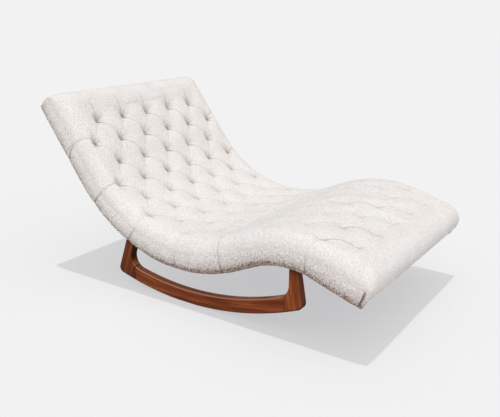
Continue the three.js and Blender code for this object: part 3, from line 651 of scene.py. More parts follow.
def in_body(along, across, depth):
    """Points in the frame from lengths along the wave, places across it and depths below the button line."""
    x, z, heading = wave(along)
    return np.stack([
        x - seat_low_x + SEAT_LOW_X + np.sin(heading) * depth,
        np.broadcast_to(across, x.shape),
        z - seat_low_z + SEAT_LOW_HEIGHT - np.cos(heading) * depth,
    ], axis=-1)


def smooth(share):
    """0 below 0, 1 above 1, and a smooth step between."""
    share = np.clip(share, 0, 1)
    return share * share * (3 - 2 * share)


def hill(distance, width):
    """1 on a line and falling off at a width to either side, as a bell."""
    return np.exp(-(distance / width) ** 2)


def share_at(row, shares):
    """How deep the tufting is at a row: full on the back, flattened in the seat, middling on the leg."""
    return np.interp(row, TUFTED_ROWS, shares)


def pleats_at(along, fall):
    """A crease and the wide shallow valley around it, each 1 on the pleat, and the pleat's order. A pleat
    starts at its outer button, is shifted along by one share of the pitch at the end of the roll and by
    another at the lower edge, and lies evenly between. fall is 0 at the buttons and 1 at the lower edge."""
    row = (along - HEAD_MARGIN) / PITCH_ALONG
    nearest = np.clip(2 * np.round((row - 1) / 2) + 1, 1, LAST_ROW - 1)
    order = ((nearest - 1) / 2).astype(int)
    at_roll = np.array(ROLL_SHIFT_SHARES)[order]
    at_hem = np.array(HEM_SHIFT_SHARES)[order]
    on_roll = np.sin(np.pi / 2 * np.minimum(fall / PLEAT_ROLL_SHARE, 1))
    past_roll = np.clip((fall - PLEAT_ROLL_SHARE) / (1 - PLEAT_ROLL_SHARE), 0, 1)
    shift = at_roll * on_roll + (at_hem - at_roll) * past_roll
    distance = (row - nearest - shift) * PITCH_ALONG
    strength = np.array(PLEAT_STRENGTH_SHARES)[order]
    return strength * hill(distance, PLEAT_WIDTH), strength * hill(distance, PLEAT_VALLEY_WIDTH), order


def on_leg(row):
    """1 on the leg rest, 0 on the seat and the back, and smooth between."""
    return smooth((row - LEG_FROM_ROW) / LEG_BLEND_ROWS)


def slide(row):
    """How far the tufting of back and leg lies towards the foot and the right, as a share of the pitches."""
    on_back = 1 - smooth((row - BACK_TO_ROW) / BACK_BLEND_ROWS)
    return LEG_SLIDE_SHARE * on_leg(row) + BACK_SLIDE_SHARE * on_back


class Lattice:
    """Where points lie among the buttons. Half the sum and half the difference of row and column, u and v,
    are whole numbers on the fold lines and both whole at the buttons. Lengths run from the nearest button,
    and from_fold runs across the deeper fold."""

    def __init__(self, row, column):
        row_here, column_here = row - slide(row), column + slide(row)
        held_row = np.clip(row_here, 0, LAST_ROW)
        self.held_column = np.clip(column_here, -LAST_COLUMN, LAST_COLUMN)
        u, v = (held_row + self.held_column) / 2, (held_row - self.held_column) / 2
        self.part_u, self.part_v = u - np.floor(u), v - np.floor(v)
        inward = np.where(held_row > LAST_ROW / 2, -TIE, TIE)
        near_u, self.near_v = np.floor(u + 0.5 + inward), np.floor(v + 0.5 + inward)
        to_u, to_v = u - near_u, v - self.near_v
        self.along = (to_u + to_v + row_here - held_row) * PITCH_ALONG
        self.across = (to_u - to_v + column_here - self.held_column) * HALF_PITCH_ACROSS
        self.from_button = np.hypot(self.along, self.across)
        self.from_fold = to_v * CELL_WIDTH
        vary = np.sin(FOLD_VARY_TURNS[0] * self.near_v + FOLD_VARY_TURNS[1] * np.floor(u))
        self.strong = hill(self.from_fold, GROOVE_WIDTH) * (FOLD_EVEN_SHARE + (1 - FOLD_EVEN_SHARE) * vary)
        self.faint = hill(to_u * CELL_WIDTH, GROOVE_WIDTH)
        self.phase = np.sin(PHASE_TURNS[0] * near_u + PHASE_TURNS[1] * self.near_v) * PHASE_SPREAD

    def puckers(self):
        """The creases fanning out of a pit, as a wave round its button, and where they are: a bell around a
        ring, stronger to one side. Each button's phase makes its own wave uneven."""
        towards = PUCKER_TOWARDS[0] * self.along + PUCKER_TOWARDS[1] * self.across
        towards = smooth(0.5 + 0.5 * towards / np.maximum(self.from_button, MM))
        fan = hill(self.from_button - PUCKER_PLACE, PUCKER_LENGTH)
        fan = fan * (PUCKER_AWAY_SHARE + (1 - PUCKER_AWAY_SHARE) * towards)
        angle = np.arctan2(self.along, self.across)
        uneven = np.cos(PUCKER_UNEVEN_TURNS[0] * angle + PUCKER_UNEVEN_TURNS[1] * self.phase)
        wave_round = np.cos(PUCKERS * angle + self.phase + PUCKER_SWING * np.sin(2 * angle))
        return wave_round * (PUCKER_EVEN_SHARE + (1 - PUCKER_EVEN_SHARE) * uneven) * fan, fan


def puff_height(at, row, edge_crown):
    """Height between the buttons. A puff is the product of two rounded arches, one between each pair of
    folds, the second one fainter, with a groove along each fold, flattened towards the crown of the edge."""
    arch_u = (4 * at.part_u * (1 - at.part_u)) ** PUFF_FULLNESS
    arch_v = (4 * at.part_v * (1 - at.part_v)) ** PUFF_FULLNESS
    arch = arch_v * (1 - FAINT_FOLD_SHARE * (1 - arch_u))
    puff = PUFF_HEIGHT * (1 - FOLD_DEPTH_SHARE * (1 - arch))
    puff = puff - FOLD_GROOVE * at.strong - FAINT_GROOVE * at.faint
    flattened = edge_crown + (puff - edge_crown) * share_at(row, TUFT_SHARES)
    return flattened - LEG_FOLD_DEPTH * on_leg(row) * hill(at.from_fold, LEG_FOLD_WIDTH)


def pit_shade(at, row, ripple, fan):
    """The painted shade of a pit: a dash along the deeper fold, longer to one side, a core beside the button
    that varies from button to button, and a little in the creases."""
    on_dash = (at.along * PITCH_ALONG + at.across * HALF_PITCH_ACROSS) / DIAGONAL_PITCH
    off_dash = (at.along * HALF_PITCH_ACROSS - at.across * PITCH_ALONG) / DIAGONAL_PITCH
    dash = hill(off_dash, DASH_WIDTH) * hill(on_dash, np.where(on_dash > 0, DASH_LENGTH, DASH_BACK_LENGTH))
    core = hill(np.hypot(at.along - CORE_SHIFT[0], at.across - CORE_SHIFT[1]), CORE_RADIUS)
    vary = 1 - (1 - CORE_LOWEST_SHARE) * (0.5 + 0.5 * np.sin(at.phase))
    core = core * CORE_DARK * vary * (1 - on_leg(row))
    return np.maximum(DASH_DARK * dash, core) + FAN_DARK * fan * (1 - FAN_RIPPLE_SHARE * ripple)


def tuft(row, column):
    """Height of the cover over the button line, its painted shade there, how far folds bend, and 1 at
    buttons.
    A pit falls off as a bell with a sharp top around each button, with creases fanning out of it. Outside
    the outer buttons the cover goes over to the roll's height, with pleats at the sides and the ends."""
    at = Lattice(row, column)
    ripple, fan = at.puckers()
    edge_crown = share_at(row, EDGE_CROWNS)
    pit_share = share_at(row, PIT_SHARES)
    pit = np.exp(-(at.from_button / PIT_RADIUS) ** PIT_SHARPNESS)
    height = puff_height(at, row, edge_crown) * (1 - pit * pit_share) + PUCKER_HEIGHT * ripple * pit_share

    beyond_side = np.abs(column) - LAST_COLUMN
    edge_side = smooth(beyond_side / SIDE_BLEND_COLUMNS)
    edge_end = smooth(np.maximum(-row, row - LAST_ROW) / END_BLEND_ROWS)
    share, both = np.maximum(edge_side, edge_end), edge_side * edge_end
    fall = PLEAT_ROLL_SHARE * np.clip(beyond_side / COLUMNS_BEYOND, 0, 1)
    crease, valley, order = pleats_at(row * PITCH_ALONG + HEAD_MARGIN, fall)
    off_line = np.abs((at.held_column + 1) % 2 - 1)
    end_crease = hill(off_line * HALF_PITCH_ACROSS, PLEAT_WIDTH)
    end_groove = np.where(row < 0, HEAD_GROOVE, FOOT_GROOVE)
    side_height = edge_crown - (PLEAT_GROOVE * crease + PLEAT_VALLEY * valley) * (1 - edge_end)
    end_height = edge_crown - end_groove * end_crease * (1 - edge_side)
    edge_height = np.where(edge_side >= edge_end, side_height, end_height) * (1 - both) + edge_crown * both
    hole = BUTTON_HOLE * hill(at.from_button, BUTTON_HOLE_RADIUS) * pit_share
    total = height * (1 - share) + edge_height * share - hole

    # Painted shade: along the folds, in the pits, in the pleats past the outer buttons and in the creases
    # over the head
    fold_dark = FOLD_DARK * np.maximum(share_at(row, TUFT_SHARES), FOLD_LEAST_SHARE)
    fold_dark = fold_dark + np.interp(at.near_v, LEG_FOLDS, LEG_FOLD_DARKS) * on_leg(row)
    on_fold = at.strong * fold_dark + FAINT_FOLD_DARK * at.faint
    shade = pit_shade(at, row, ripple, fan) * share_at(row, SHADE_SHARES) * (1 - EDGE_SHADE_SHARE * share)
    past_buttons = smooth(beyond_side / PLEAT_START_COLUMNS) * (1 - edge_end)
    pleat_dark = np.array(PLEAT_ROLL_DARKS)[order] * crease * past_buttons
    faded = smooth((-row - HEAD_CREASE_ROWS) / HEAD_CREASE_FADE_ROWS)
    head_dark = np.where(row < 0, HEAD_CREASE_DARK * end_crease * (1 - faded), 0)
    fold = np.maximum(np.clip(on_fold * (1 - share) + shade, 0, 1), np.maximum(pleat_dark, head_dark))
    bend = FOLD_BEND * np.sin(np.pi * at.part_u ** FOLD_SKEW) * (1 - share)
    return total, fold, bend, hill(at.from_button, CLOTH_HELD_RADIUS)


def lattice_lines(first, step, low, high):
    """Whole steps of a lattice from low to high, with both ends kept."""
    from_step = math.ceil((low - first) / step + LINE_CLEARANCE_SHARE)
    to_step = math.floor((high - first) / step - LINE_CLEARANCE_SHARE)
    return np.concatenate([[low], first + np.arange(from_step, to_step + 1) * step, [high]])


def over_rolls(flat):
    """Along one axis of the grid, over a roll, the flat and the other roll: the turn, from a right angle at
    the outer edge to 0 on the flat, the side it is on, -1, 0 or 1, and the place on the flat."""
    turns = np.linspace(90, 0, ROLL_STEPS + 1)[:-1] * DEGREE
    level, roll = np.zeros(len(flat)), np.ones(ROLL_STEPS)
    turn = np.concatenate([turns, level, turns[::-1]])
    side = np.concatenate([-roll, level, roll])
    return turn, side, np.concatenate([0 * roll, flat, 0 * roll])


def cover_points():
    """The tufted surface as a grid: at each point its length along the wave, place across, depth, its painted
    shade, how low it is, which deepens the painted shade in the yarn's gaps, and how firmly a button holds
    it. Beside it, the way out from the body at each point.
    On the rolls two turns from 0 to a right angle are mapped to a quarter ball, as in a square drawn on a
    disc: each sine is squeezed by the other, and the drop is one less the product of cosines, times the
    radius."""
    step_along = PITCH_ALONG / STEPS_PER_PITCH
    step_across = HALF_PITCH_ACROSS / STEPS_PER_PITCH
    last = WAVE_LENGTH + FOOT_PROUD
    flat_along = lattice_lines(HEAD_MARGIN, step_along, END_ROLL_RADIUS, last - END_ROLL_RADIUS)
    flat_across = lattice_lines(0, step_across, SIDE_ROLL_RADIUS - HALF_BODY, HALF_BODY - SIDE_ROLL_RADIUS)
    turn_s, end, base_along = (values[:, None] for values in over_rolls(flat_along))
    turn_t, side, base_across = (values[None, :] for values in over_rolls(flat_across))
    v, u = np.sin(turn_s), np.sin(turn_t)
    fallen = 1 - np.cos(turn_s) * np.cos(turn_t)
    squeeze_u, squeeze_v = np.sqrt(1 - v * v / 2), np.sqrt(1 - u * u / 2)
    ball_u, ball_v = u * squeeze_u, v * squeeze_v
    reach = np.maximum(ball_u ** 2 + ball_v ** 2, NEARLY_ZERO)
    radius = (SIDE_ROLL_RADIUS * ball_u ** 2 + END_ROLL_RADIUS * ball_v ** 2) / reach
    plan_u = u * (1 - CORNER_ROUND_SHARE * (1 - squeeze_u))
    plan_v = v * (1 - CORNER_ROUND_SHARE * (1 - squeeze_v))
    across = np.where(side == 0, base_across + 0 * v, side * (HALF_BODY - SIDE_ROLL_RADIUS * (1 - plan_u)))
    bow = np.where(end < 0, HEAD_BOW, FOOT_BOW) * (1 - (across / HALF_BODY) ** 4) * v
    from_end = END_ROLL_RADIUS * (1 - plan_v) - bow
    along = np.where(end < 0, from_end, np.where(end > 0, last - from_end, base_along + 0 * u))
    height, fold, bend, held = tuft((along - HEAD_MARGIN) / PITCH_ALONG, across / HALF_PITCH_ACROSS)
    along_bent = along - bend * PITCH_ALONG
    across_bent = across + bend * HALF_PITCH_ACROSS
    depth = radius * fallen - height
    grid = np.stack([along_bent, across_bent, depth, fold, ROLL_LOW_SHARE * fallen, held], axis=-1)
    return grid, np.stack([end * ball_v, side * ball_u], axis=-1)


def edge_loop(rows, columns):
    """Indices of a grid's border in order, once round."""
    index = np.arange(rows * columns).reshape(rows, columns)
    return np.concatenate([index[:, 0], index[-1, 1:], index[-2::-1, -1], index[0, -2:0:-1]])


def quads_between(first, second):
    """Faces between two closed loops of the same count, or between two stacks of such loops."""
    return np.stack([first, second, np.roll(second, -1, axis=-1), np.roll(first, -1, axis=-1)], axis=-1)


def grid_faces(rows, columns, turned=False):
    """Faces of a grid of points, each by its four corners, in one turning direction or in the other."""
    index = np.arange(rows * columns).reshape(rows, columns)
    corners = [index[:-1, :-1], index[1:, :-1], index[1:, 1:], index[:-1, 1:]]
    return np.stack(corners[:1] + corners[:0:-1] if turned else corners, axis=-1)


def cover_wall(edge, outward):
    """Loops below the edge: down the side with a slight bulge, a squared sine, and drawn in as a square,
    round the bottom and up inside in a hem. Pleats run on down the sides, and a seam down each corner."""
    share = np.linspace(0, 1, WALL_STEPS + 1)[1:, None]
    along, across, top, fold, _, _ = edge.T
    to_end, to_side = outward.T
    row = (along - HEAD_MARGIN) / PITCH_ALONG
    body_depth = np.interp(row, BODY_DEPTH_ROWS, BODY_DEPTHS)
    fall = PLEAT_ROLL_SHARE + (1 - PLEAT_ROLL_SHARE) * share
    crease, valley, order = pleats_at(along[None, :], fall)
    on_side = np.abs(to_side) ** ON_SIDE_SHARPNESS
    crease, valley = crease * on_side, valley * on_side
    turned = np.arctan2(np.abs(to_side), np.abs(to_end))
    seam = hill((turned - SEAM_ANGLE) * SEAM_REACH, SEAM_WIDTH) * np.minimum(1, share / SEAM_START_SHARE)
    seam = seam * np.where(to_end < 0, HEAD_SEAM_SHARE, 1)
    draw_in = SIDE_DRAW_IN + (np.where(to_end < 0, HEAD_DRAW_IN, FOOT_DRAW_IN) - SIDE_DRAW_IN) * to_end ** 2
    wall_depth = top + (body_depth - BOTTOM_ROUND - top) * share
    wall_out = WALL_BULGE * np.sin(np.pi * share) ** 2 - draw_in * share ** 2
    wall_out = wall_out - PLEAT_GROOVE * crease - PLEAT_VALLEY * valley - SEAM_GROOVE * seam
    angle = np.linspace(0, np.pi / 2, BOTTOM_STEPS + 1)[1:, None]
    round_depth = body_depth - BOTTOM_ROUND * (1 - np.sin(angle))
    round_out = wall_out[-1] - BOTTOM_ROUND * (1 - np.cos(angle))
    turn = np.linspace(0, np.pi / 2, HEM_STEPS + 1)[1:, None]
    hem_depth = body_depth - HEM_ROUND * (1 - np.cos(turn))
    hem_out = round_out[-1:] - HEM_ROUND * np.sin(turn)
    depth = np.concatenate([wall_depth, round_depth, hem_depth])
    out = np.concatenate([wall_out, round_out, hem_out])

    # Painted shade: in the pleats, darkest at the lower edge, in the corner seams, towards the hem and below
    # it, and the edge's own painted shade fading down the wall
    roll_dark = np.array(PLEAT_ROLL_DARKS)[order]
    pleat_dark = (roll_dark + (PLEAT_HEM_DARK - roll_dark) * share) * crease
    hem_dark = np.interp(row, BODY_DEPTH_ROWS, HEM_DARKS)
    wall_dark = np.maximum(np.maximum(pleat_dark, seam), hem_dark * share ** HEM_SHARPNESS)
    below = np.maximum(wall_dark[-1:], hem_dark)
    dark = np.concatenate([wall_dark, np.repeat(below, BOTTOM_STEPS + HEM_STEPS, axis=0)])
    faded_shade = fold * np.linspace(1, 0, len(depth))[:, None]
    # How low each loop is, which deepens the painted shade in the yarn's gaps, most at the hem
    level = np.arange(1, len(depth) + 1)[:, None]
    low = np.minimum(1, ROLL_LOW_SHARE + (1 - ROLL_LOW_SHARE) * level / WALL_STEPS)
    low = low * (1 + HEM_LOW_SHARE * low ** HEM_SHARPNESS) * np.interp(row, BODY_DEPTH_ROWS, LOW_SHARES)
    places = (along + out * to_end, across + out * to_side, depth)
    return np.stack([*places, np.maximum(dark, faded_shade), low], axis=-1)


def new_object(name, points, *face_groups):
    """A smooth-shaded mesh in the scene. The faces of a group have the same count of corners."""
    faces = [face for group in face_groups for face in group.reshape(-1, group.shape[-1]).tolist()]
    mesh = bpy.data.meshes.new(name)
    mesh.from_pydata(points.reshape(-1, 3).tolist(), [], faces)
    mesh.update()
    mesh.polygons.foreach_set("use_smooth", np.full(len(mesh.polygons), True))
    piece = bpy.data.objects.new(name, mesh)
    bpy.context.scene.collection.objects.link(piece)
    return piece


def set_attribute(piece, name, values, kind="FLOAT", key="value"):
    attribute = piece.data.attributes.new(name, kind, "POINT")
    attribute.data.foreach_set(key, np.asarray(values, np.float32).ravel())


def vertex_places(mesh):
    places = np.zeros(3 * len(mesh.vertices))
    mesh.vertices.foreach_get("co", places)
    return places.reshape(-1, 3)


def vertex_normals(mesh):
    normals = np.zeros(3 * len(mesh.vertices))
    mesh.vertex_normals.foreach_get("vector", normals)
    return normals.reshape(-1, 3)


def thicken(piece, thickness):
    """Gives a surface a wall, inwards from it."""
    shell = piece.modifiers.new("thickness", "SOLIDIFY")
    shell.thickness = thickness
    shell.offset = -1


def raise_nubs(piece):
    """Moves every vertex a little along its normal, by a random height, as loops of yarn stand unevenly."""
    heights = np.random.default_rng(NUB_SEED).normal(0, NUB_HEIGHT, len(piece.data.vertices))
    heights = heights.clip(-2 * NUB_HEIGHT, 2 * NUB_HEIGHT)
    raised = vertex_places(piece.data) + vertex_normals(piece.data) * heights[:, None]
    piece.data.vertices.foreach_set("co", raised.ravel())
    piece.data.update()


def spread(values, lines, count):
    """Values at some lines of a grid, spread evenly over all its lines, along the first axis."""
    share = np.interp(np.arange(count), lines, np.arange(len(lines)))
    before = np.minimum(np.floor(share).astype(int), len(lines) - 2)
    part = (share - before)[:, None, None]
    return values[before] * (1 - part) + values[before + 1] * part


def swell(places, held):
    """How far cloth moves when the filling presses it out: every fourth line of the grid is run as cloth,
    pinned at the buttons and along the border, and its moves, none longer than a cap, are spread evenly
    over the lines between."""
    lines = [np.unique(np.append(np.arange(0, count, CLOTH_EVERY), count - 1)) for count in held.shape]
    start = places[np.ix_(*lines)]
    pinned = held[np.ix_(*lines)] > CLOTH_HELD_SHARE
    pinned[[0, -1], :], pinned[:, [0, -1]] = True, True
    cloth = new_object("cover_cloth", start, grid_faces(*pinned.shape))
    pins = cloth.vertex_groups.new(name="pins")
    pins.add(np.flatnonzero(pinned).tolist(), 1.0, "REPLACE")
    run = cloth.modifiers.new("cloth", "CLOTH")
    for setting, value in CLOTH_SETTINGS.items():
        setattr(run.settings, setting, value)
    run.settings.effector_weights.gravity = 0
    run.point_cache.frame_end = CLOTH_FRAMES
    for step in range(1, CLOTH_FRAMES + 1):
        bpy.context.scene.frame_set(step)
    settled = cloth.evaluated_get(bpy.context.evaluated_depsgraph_get())
    move = vertex_places(settled.data).reshape(start.shape) - start
    bpy.context.scene.frame_set(1)
    mesh = cloth.data
    bpy.data.objects.remove(cloth)
    bpy.data.meshes.remove(mesh)
    length = np.linalg.norm(move, axis=-1, keepdims=True)
    move = move * np.minimum(1, CLOTH_CAP / np.maximum(length, NEARLY_ZERO))
    over_rows = spread(move, lines[0], held.shape[0])
    return spread(over_rows.swapaxes(0, 1), lines[1], held.shape[1]).swapaxes(0, 1)


def add_cover(material):
    """The boucle cover: the tufted grid, swollen as cloth, with its wall and hem joined on below."""
    grid, outward = cover_points()
    rows, columns, channels = grid.shape
    flat = grid.reshape(-1, channels)
    loop = edge_loop(rows, columns)
    directions = outward.reshape(-1, 2)[loop]
    directions = directions / np.maximum(np.linalg.norm(directions, axis=1, keepdims=True), NEARLY_ZERO)
    wall = cover_wall(flat[loop], directions)
    every = np.concatenate([flat[:, :-1], wall.reshape(-1, channels - 1)])
    points = in_body(every[:, 0], every[:, 1], every[:, 2])
    places = points[:rows * columns].reshape(rows, columns, 3)
    places += swell(places, grid[..., -1])
    below = rows * columns + np.arange(wall[..., 0].size).reshape(wall.shape[:2])
    loops = np.concatenate([loop[None, :], below])
    sides = quads_between(loops[:-1], loops[1:])
    piece = new_object("boucle_cover", points, grid_faces(rows, columns), sides)
    # fold holds the cover's painted shade, and low deepens the painted shade in the yarn's gaps
    set_attribute(piece, "fold", every[:, 3])
    set_attribute(piece, "low", every[:, 4])
    raise_nubs(piece)
    thicken(piece, COVER_THICKNESS)
    piece.data.materials.append(material)
    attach(piece, "root")
    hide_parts("tufted_cover")


def button_places():
    """Row and half column of every button: both even or both odd, six and five to a row by turns."""
    rows, columns = np.indices((LAST_ROW + 1, 2 * LAST_COLUMN + 1))
    columns = columns - LAST_COLUMN
    chosen = (rows + columns) % 2 == 0
    return rows[chosen], columns[chosen]


def add_buttons(material):
    """Covered buttons: a dome turned about the wave's normal, flat underneath, one at each place, with
    painted shade, darker on the side that looks towards the pit's core."""
    angle = np.arange(BUTTON_SIDES) * 2 * np.pi / BUTTON_SIDES
    radius = BUTTON_RADIUS * np.array(BUTTON_WIDTH_SHARES)[:, None]
    local_along, local_across = radius * np.cos(angle), radius * np.sin(angle)
    local_depth = -BUTTON_RISE * np.array(BUTTON_RISE_SHARES)[:, None]
    rows, columns = (places[:, None, None] for places in button_places())
    rows, columns = rows + slide(rows), columns - slide(rows)
    floor_height, _, _, _ = tuft(rows, columns)
    along = HEAD_MARGIN + rows * PITCH_ALONG + local_along
    across = columns * HALF_PITCH_ACROSS + local_across
    depth = local_depth + BUTTON_SEAT - (floor_height + BUTTON_HOLE)
    # Painted shade on the button, on the side towards the pit's core
    to_core = local_along * BUTTON_SHADE_TOWARDS[0] + local_across * BUTTON_SHADE_TOWARDS[1]
    shaded = BUTTON_SHADE_SHARE * smooth(BUTTON_SHADE_START_SHARE + to_core / BUTTON_RADIUS)
    shade = BUTTON_LEAST_SHADE + shaded * share_at(rows, SHADE_SHARES)
    index = np.arange(along.size).reshape(along.shape)
    domes = quads_between(index[:, :-1], index[:, 1:])
    piece = new_object("covered_buttons", in_body(along, across, depth), domes, index[:, -1])
    set_attribute(piece, "fold", shade)
    weld(piece)
    piece.data.materials.append(material)
    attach(piece, "root")


def weld(piece):
    """Merges doubles, so that poles are closed, and turns every face outwards."""
    work = bmesh.new()
    work.from_mesh(piece.data)
    bmesh.ops.remove_doubles(work, verts=work.verts, dist=WELD_DISTANCE)
    bmesh.ops.dissolve_degenerate(work, edges=work.edges, dist=WELD_DISTANCE)
    bmesh.ops.recalc_face_normals(work, faces=work.faces)
    work.to_mesh(piece.data)
    work.free()
    piece.data.update()


def post_edge(post, height, inner):
    """Place along X of a post's outer or inner edge at a height."""
    lean = post["inner_lean"] if inner else post["lean"]
    start = post["x"] + (post["inward"] * post["width"] if inner else 0)
    return start + (height - POST_MARK_HEIGHT) * math.tan(lean)


def round_between(post, inner):
    """Centre, radius and end angles of the round between a post's edge and a long curve of the runner: a
    toe outside, against the sole, or a fillet inside, against the runner's top. The centre is a radius from
    the edge and a radius inside the curve."""
    lean = post["inner_lean"] if inner else post["lean"]
    radius = post["fillet"] if inner else post["toe"]
    sole_centre = np.array([ROCKER_CENTRE_X, SOLE_CENTRE_HEIGHT])
    top_centre = np.array([ROCKER_CENTRE_X, RUNNER_DEPTH + RUNNER_TOP_RADIUS])
    centre, reach = (top_centre, RUNNER_TOP_RADIUS) if inner else (sole_centre, ROCKER_RADIUS)
    direction = np.array([math.sin(lean), math.cos(lean)])
    inward = post["inward"] * np.array([math.cos(lean), -math.sin(lean)])
    edge_point = np.array([post_edge(post, POST_MARK_HEIGHT, inner), POST_MARK_HEIGHT])
    start = edge_point + radius * inward
    gap = start - centre
    rise = gap @ direction
    middle = start - (rise + math.sqrt(rise ** 2 - gap @ gap + (reach - radius) ** 2)) * direction
    at_edge = math.atan2(*(-inward)[::-1])
    at_curve = math.atan2(*(middle - centre)[::-1])
    return middle, radius, at_edge, at_curve


def sole_height(x):
    """The sole: an arc, with the flat on which the chaise rests in its middle."""
    from_centre = np.maximum(np.abs(x - ROCKER_CENTRE_X), HALF_REST)
    return SOLE_CENTRE_HEIGHT - np.sqrt(ROCKER_RADIUS ** 2 - from_centre ** 2)


def runner_top_height(x):
    """Top of the runner: a long arc, taken up by the fillets where it nears a post."""
    height = RUNNER_DEPTH + RUNNER_TOP_RADIUS - np.sqrt(RUNNER_TOP_RADIUS ** 2 - (x - ROCKER_CENTRE_X) ** 2)
    for post in (REAR, FRONT):
        middle, radius, _, at_curve = round_between(post, True)
        tangent = middle[0] + radius * math.cos(at_curve)
        past = (x - tangent) * post["inward"] < 0
        inside = np.clip(radius ** 2 - (x - middle[0]) ** 2, 0, None)
        height = np.where(past, middle[1] - np.sqrt(inside), height)
    return height


def path_of_post(post, inner, count):
    """Evenly spaced points from the joint round the toe or fillet and up the post's edge to its top."""
    middle, radius, at_edge, at_curve = round_between(post, inner)
    joint = post["joint"]
    turn = (at_edge - at_curve + np.pi) % (2 * np.pi) - np.pi
    arc = at_curve + turn * np.linspace(0, 1, TOE_POINTS)
    rounded = middle[None, :] + radius * np.stack([np.cos(arc), np.sin(arc)], axis=1)
    if inner:
        rounded = rounded[(rounded[:, 0] - joint) * post["inward"] < 0]
        start = np.array([[joint, runner_top_height(np.array(joint))]])
    else:
        x = np.linspace(joint, rounded[0, 0], SOLE_POINTS)[:-1]
        start = np.stack([x, sole_height(x)], axis=1)
    top = np.array([[post_edge(post, post["top"], inner), post["top"]]])
    points = np.concatenate([start, rounded, top])
    lengths = np.concatenate([[0], np.cumsum(np.linalg.norm(np.diff(points, axis=0), axis=1))])
    even = np.linspace(0, lengths[-1], count)
    return np.stack([np.interp(even, lengths, points[:, i]) for i in range(2)], axis=1)


def tone_wood(piece, end_tones, shade_height):
    """Tones of a member: changing evenly from its head end to its foot end, with painted shade on its narrow
    faces, underneath and close under the body, and a painted highlight along its upper rounding."""
    x, _, z = vertex_places(piece.data).T
    _, facing_y, facing_z = vertex_normals(piece.data).T
    # Painted shade on the narrow faces, less on those that face up, and on the faces underneath
    on_edge = 1 - np.abs(facing_y)
    narrow_face_shade = NARROW_FACE_SHADE_SHARE * smooth(on_edge) * (1 - UPWARD_SHARE * smooth(UP_SHARPNESS * facing_z))
    under_shade = UNDER_SHADE_SHARE * smooth(-UP_SHARPNESS * facing_z)
    # Painted shadow close under the body
    body_shadow = smooth((z - shade_height + SHADE_DEPTH) / SHADE_DEPTH)
    tones = np.interp(x, (x.min(), x.max()), end_tones)
    tones = tones * (1 - narrow_face_shade) * (1 - under_shade) * (1 - BODY_SHADOW_SHARE * body_shadow)
    # Painted highlight along the upper rounding
    painted_highlight = hill(facing_z - GLEAM_FACING, GLEAM_WIDTH) * smooth(EDGE_SHARPNESS * on_edge)
    painted_highlight = painted_highlight * smooth(GLEAM_TOP_SHARE + EDGE_SHARPNESS * (1 - on_edge))
    set_attribute(piece, "tone", tones)
    set_attribute(piece, "painted_highlight", painted_highlight)


def add_member(node, lower, upper, middle_y, grain, end_tones, shade_height, material):
    """A rocker member: a rounded rectangle carried along two edge paths, from one end to the other."""
    quarter = np.linspace(0, np.pi / 2, WOOD_CORNER_STEPS)
    angle = np.concatenate([quarter + k * np.pi / 2 for k in range(4)])
    sign_a = np.repeat([1, -1, -1, 1], WOOD_CORNER_STEPS)
    sign_b = np.repeat([1, 1, -1, -1], WOOD_CORNER_STEPS)
    centre = (lower + upper) / 2
    half = np.linalg.norm(upper - lower, axis=1, keepdims=True) / 2
    up = (upper - lower) / (2 * half)
    reach_a = sign_a * (half - WOOD_ROUND) + WOOD_ROUND * np.cos(angle)
    reach_b = sign_b * (ROCKER_THICKNESS / 2 - WOOD_ROUND) + WOOD_ROUND * np.sin(angle)
    x = centre[:, :1] + up[:, :1] * reach_a + SEAT_LOW_X
    z = centre[:, 1:] + up[:, 1:] * reach_a
    points = np.stack([x, middle_y + reach_b + 0 * x, z], axis=-1)
    index = np.arange(x.size).reshape(x.shape)
    sides = quads_between(index[:-1], index[1:])
    piece = new_object("walnut_" + node, points, sides, index[:1], index[-1:, ::-1])
    weld(piece)
    set_attribute(piece, "grain", grain(vertex_places(piece.data)), "FLOAT_VECTOR", "vector")
    tone_wood(piece, end_tones, shade_height)
    crisp = piece.modifiers.new("crisp ends", "WEIGHTED_NORMAL")
    crisp.keep_sharp = True
    piece.data.materials.append(material)
    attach(piece, "root")
    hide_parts(node)


def grain_along(direction_x, direction_z, follow, shift):
    """Lengths along and across the grain of a member whose grain runs in one direction, bent by a share of
    the sole's curve, and shifted so that no two members match."""
    def lengths(points):
        x, y, z = (points - np.array([SEAT_LOW_X, 0, 0])).T
        z = z - follow * sole_height(x)
        along = x * direction_x + z * direction_z
        cross = z * direction_x - x * direction_z
        return np.stack([along + shift, y + shift, cross + shift], axis=1)
    return lengths


def add_rockers(material):
    """Each rocker: its runner between its two posts, with a thin gap at the joints."""
    for side, sign in (("left", 1), ("right", -1)):
        middle_y = sign * ROCKER_MIDDLE_Y
        x = np.linspace(REAR["joint"] + JOINT_GAP / 2, FRONT["joint"] - JOINT_GAP / 2, RUNNER_STATIONS)
        lower = np.stack([x, sole_height(x)], axis=1)
        upper = np.stack([x, runner_top_height(x)], axis=1)
        grain = grain_along(1, 0, RUNNER_GRAIN_BEND_SHARE, RUNNER_GRAIN_SHIFT * sign)
        add_member(f"runner_{side}", lower, upper, middle_y, grain, RUNNER_TONES, math.inf, material)
        for place, post in (("rear", REAR), ("front", FRONT)):
            start = {**post, "joint": post["joint"] - post["inward"] * JOINT_GAP / 2}
            lower, upper = (path_of_post(start, inner, POST_STATIONS) for inner in (False, True))
            lean_x, lean_z = math.sin(post["lean"]), math.cos(post["lean"])
            grain = grain_along(lean_x, lean_z, 0, POST_GRAIN_SHIFT * sign + post["x"])
            _, _, top_height = in_body(np.array(place_along(post, False)), 0.0, DUST_COVER_DEPTH)
            shade_height = top_height - SHADE_HIDDEN
            node = f"{place}_post_{side}"
            add_member(node, lower, upper, middle_y, grain, post["tones"], shade_height, material)


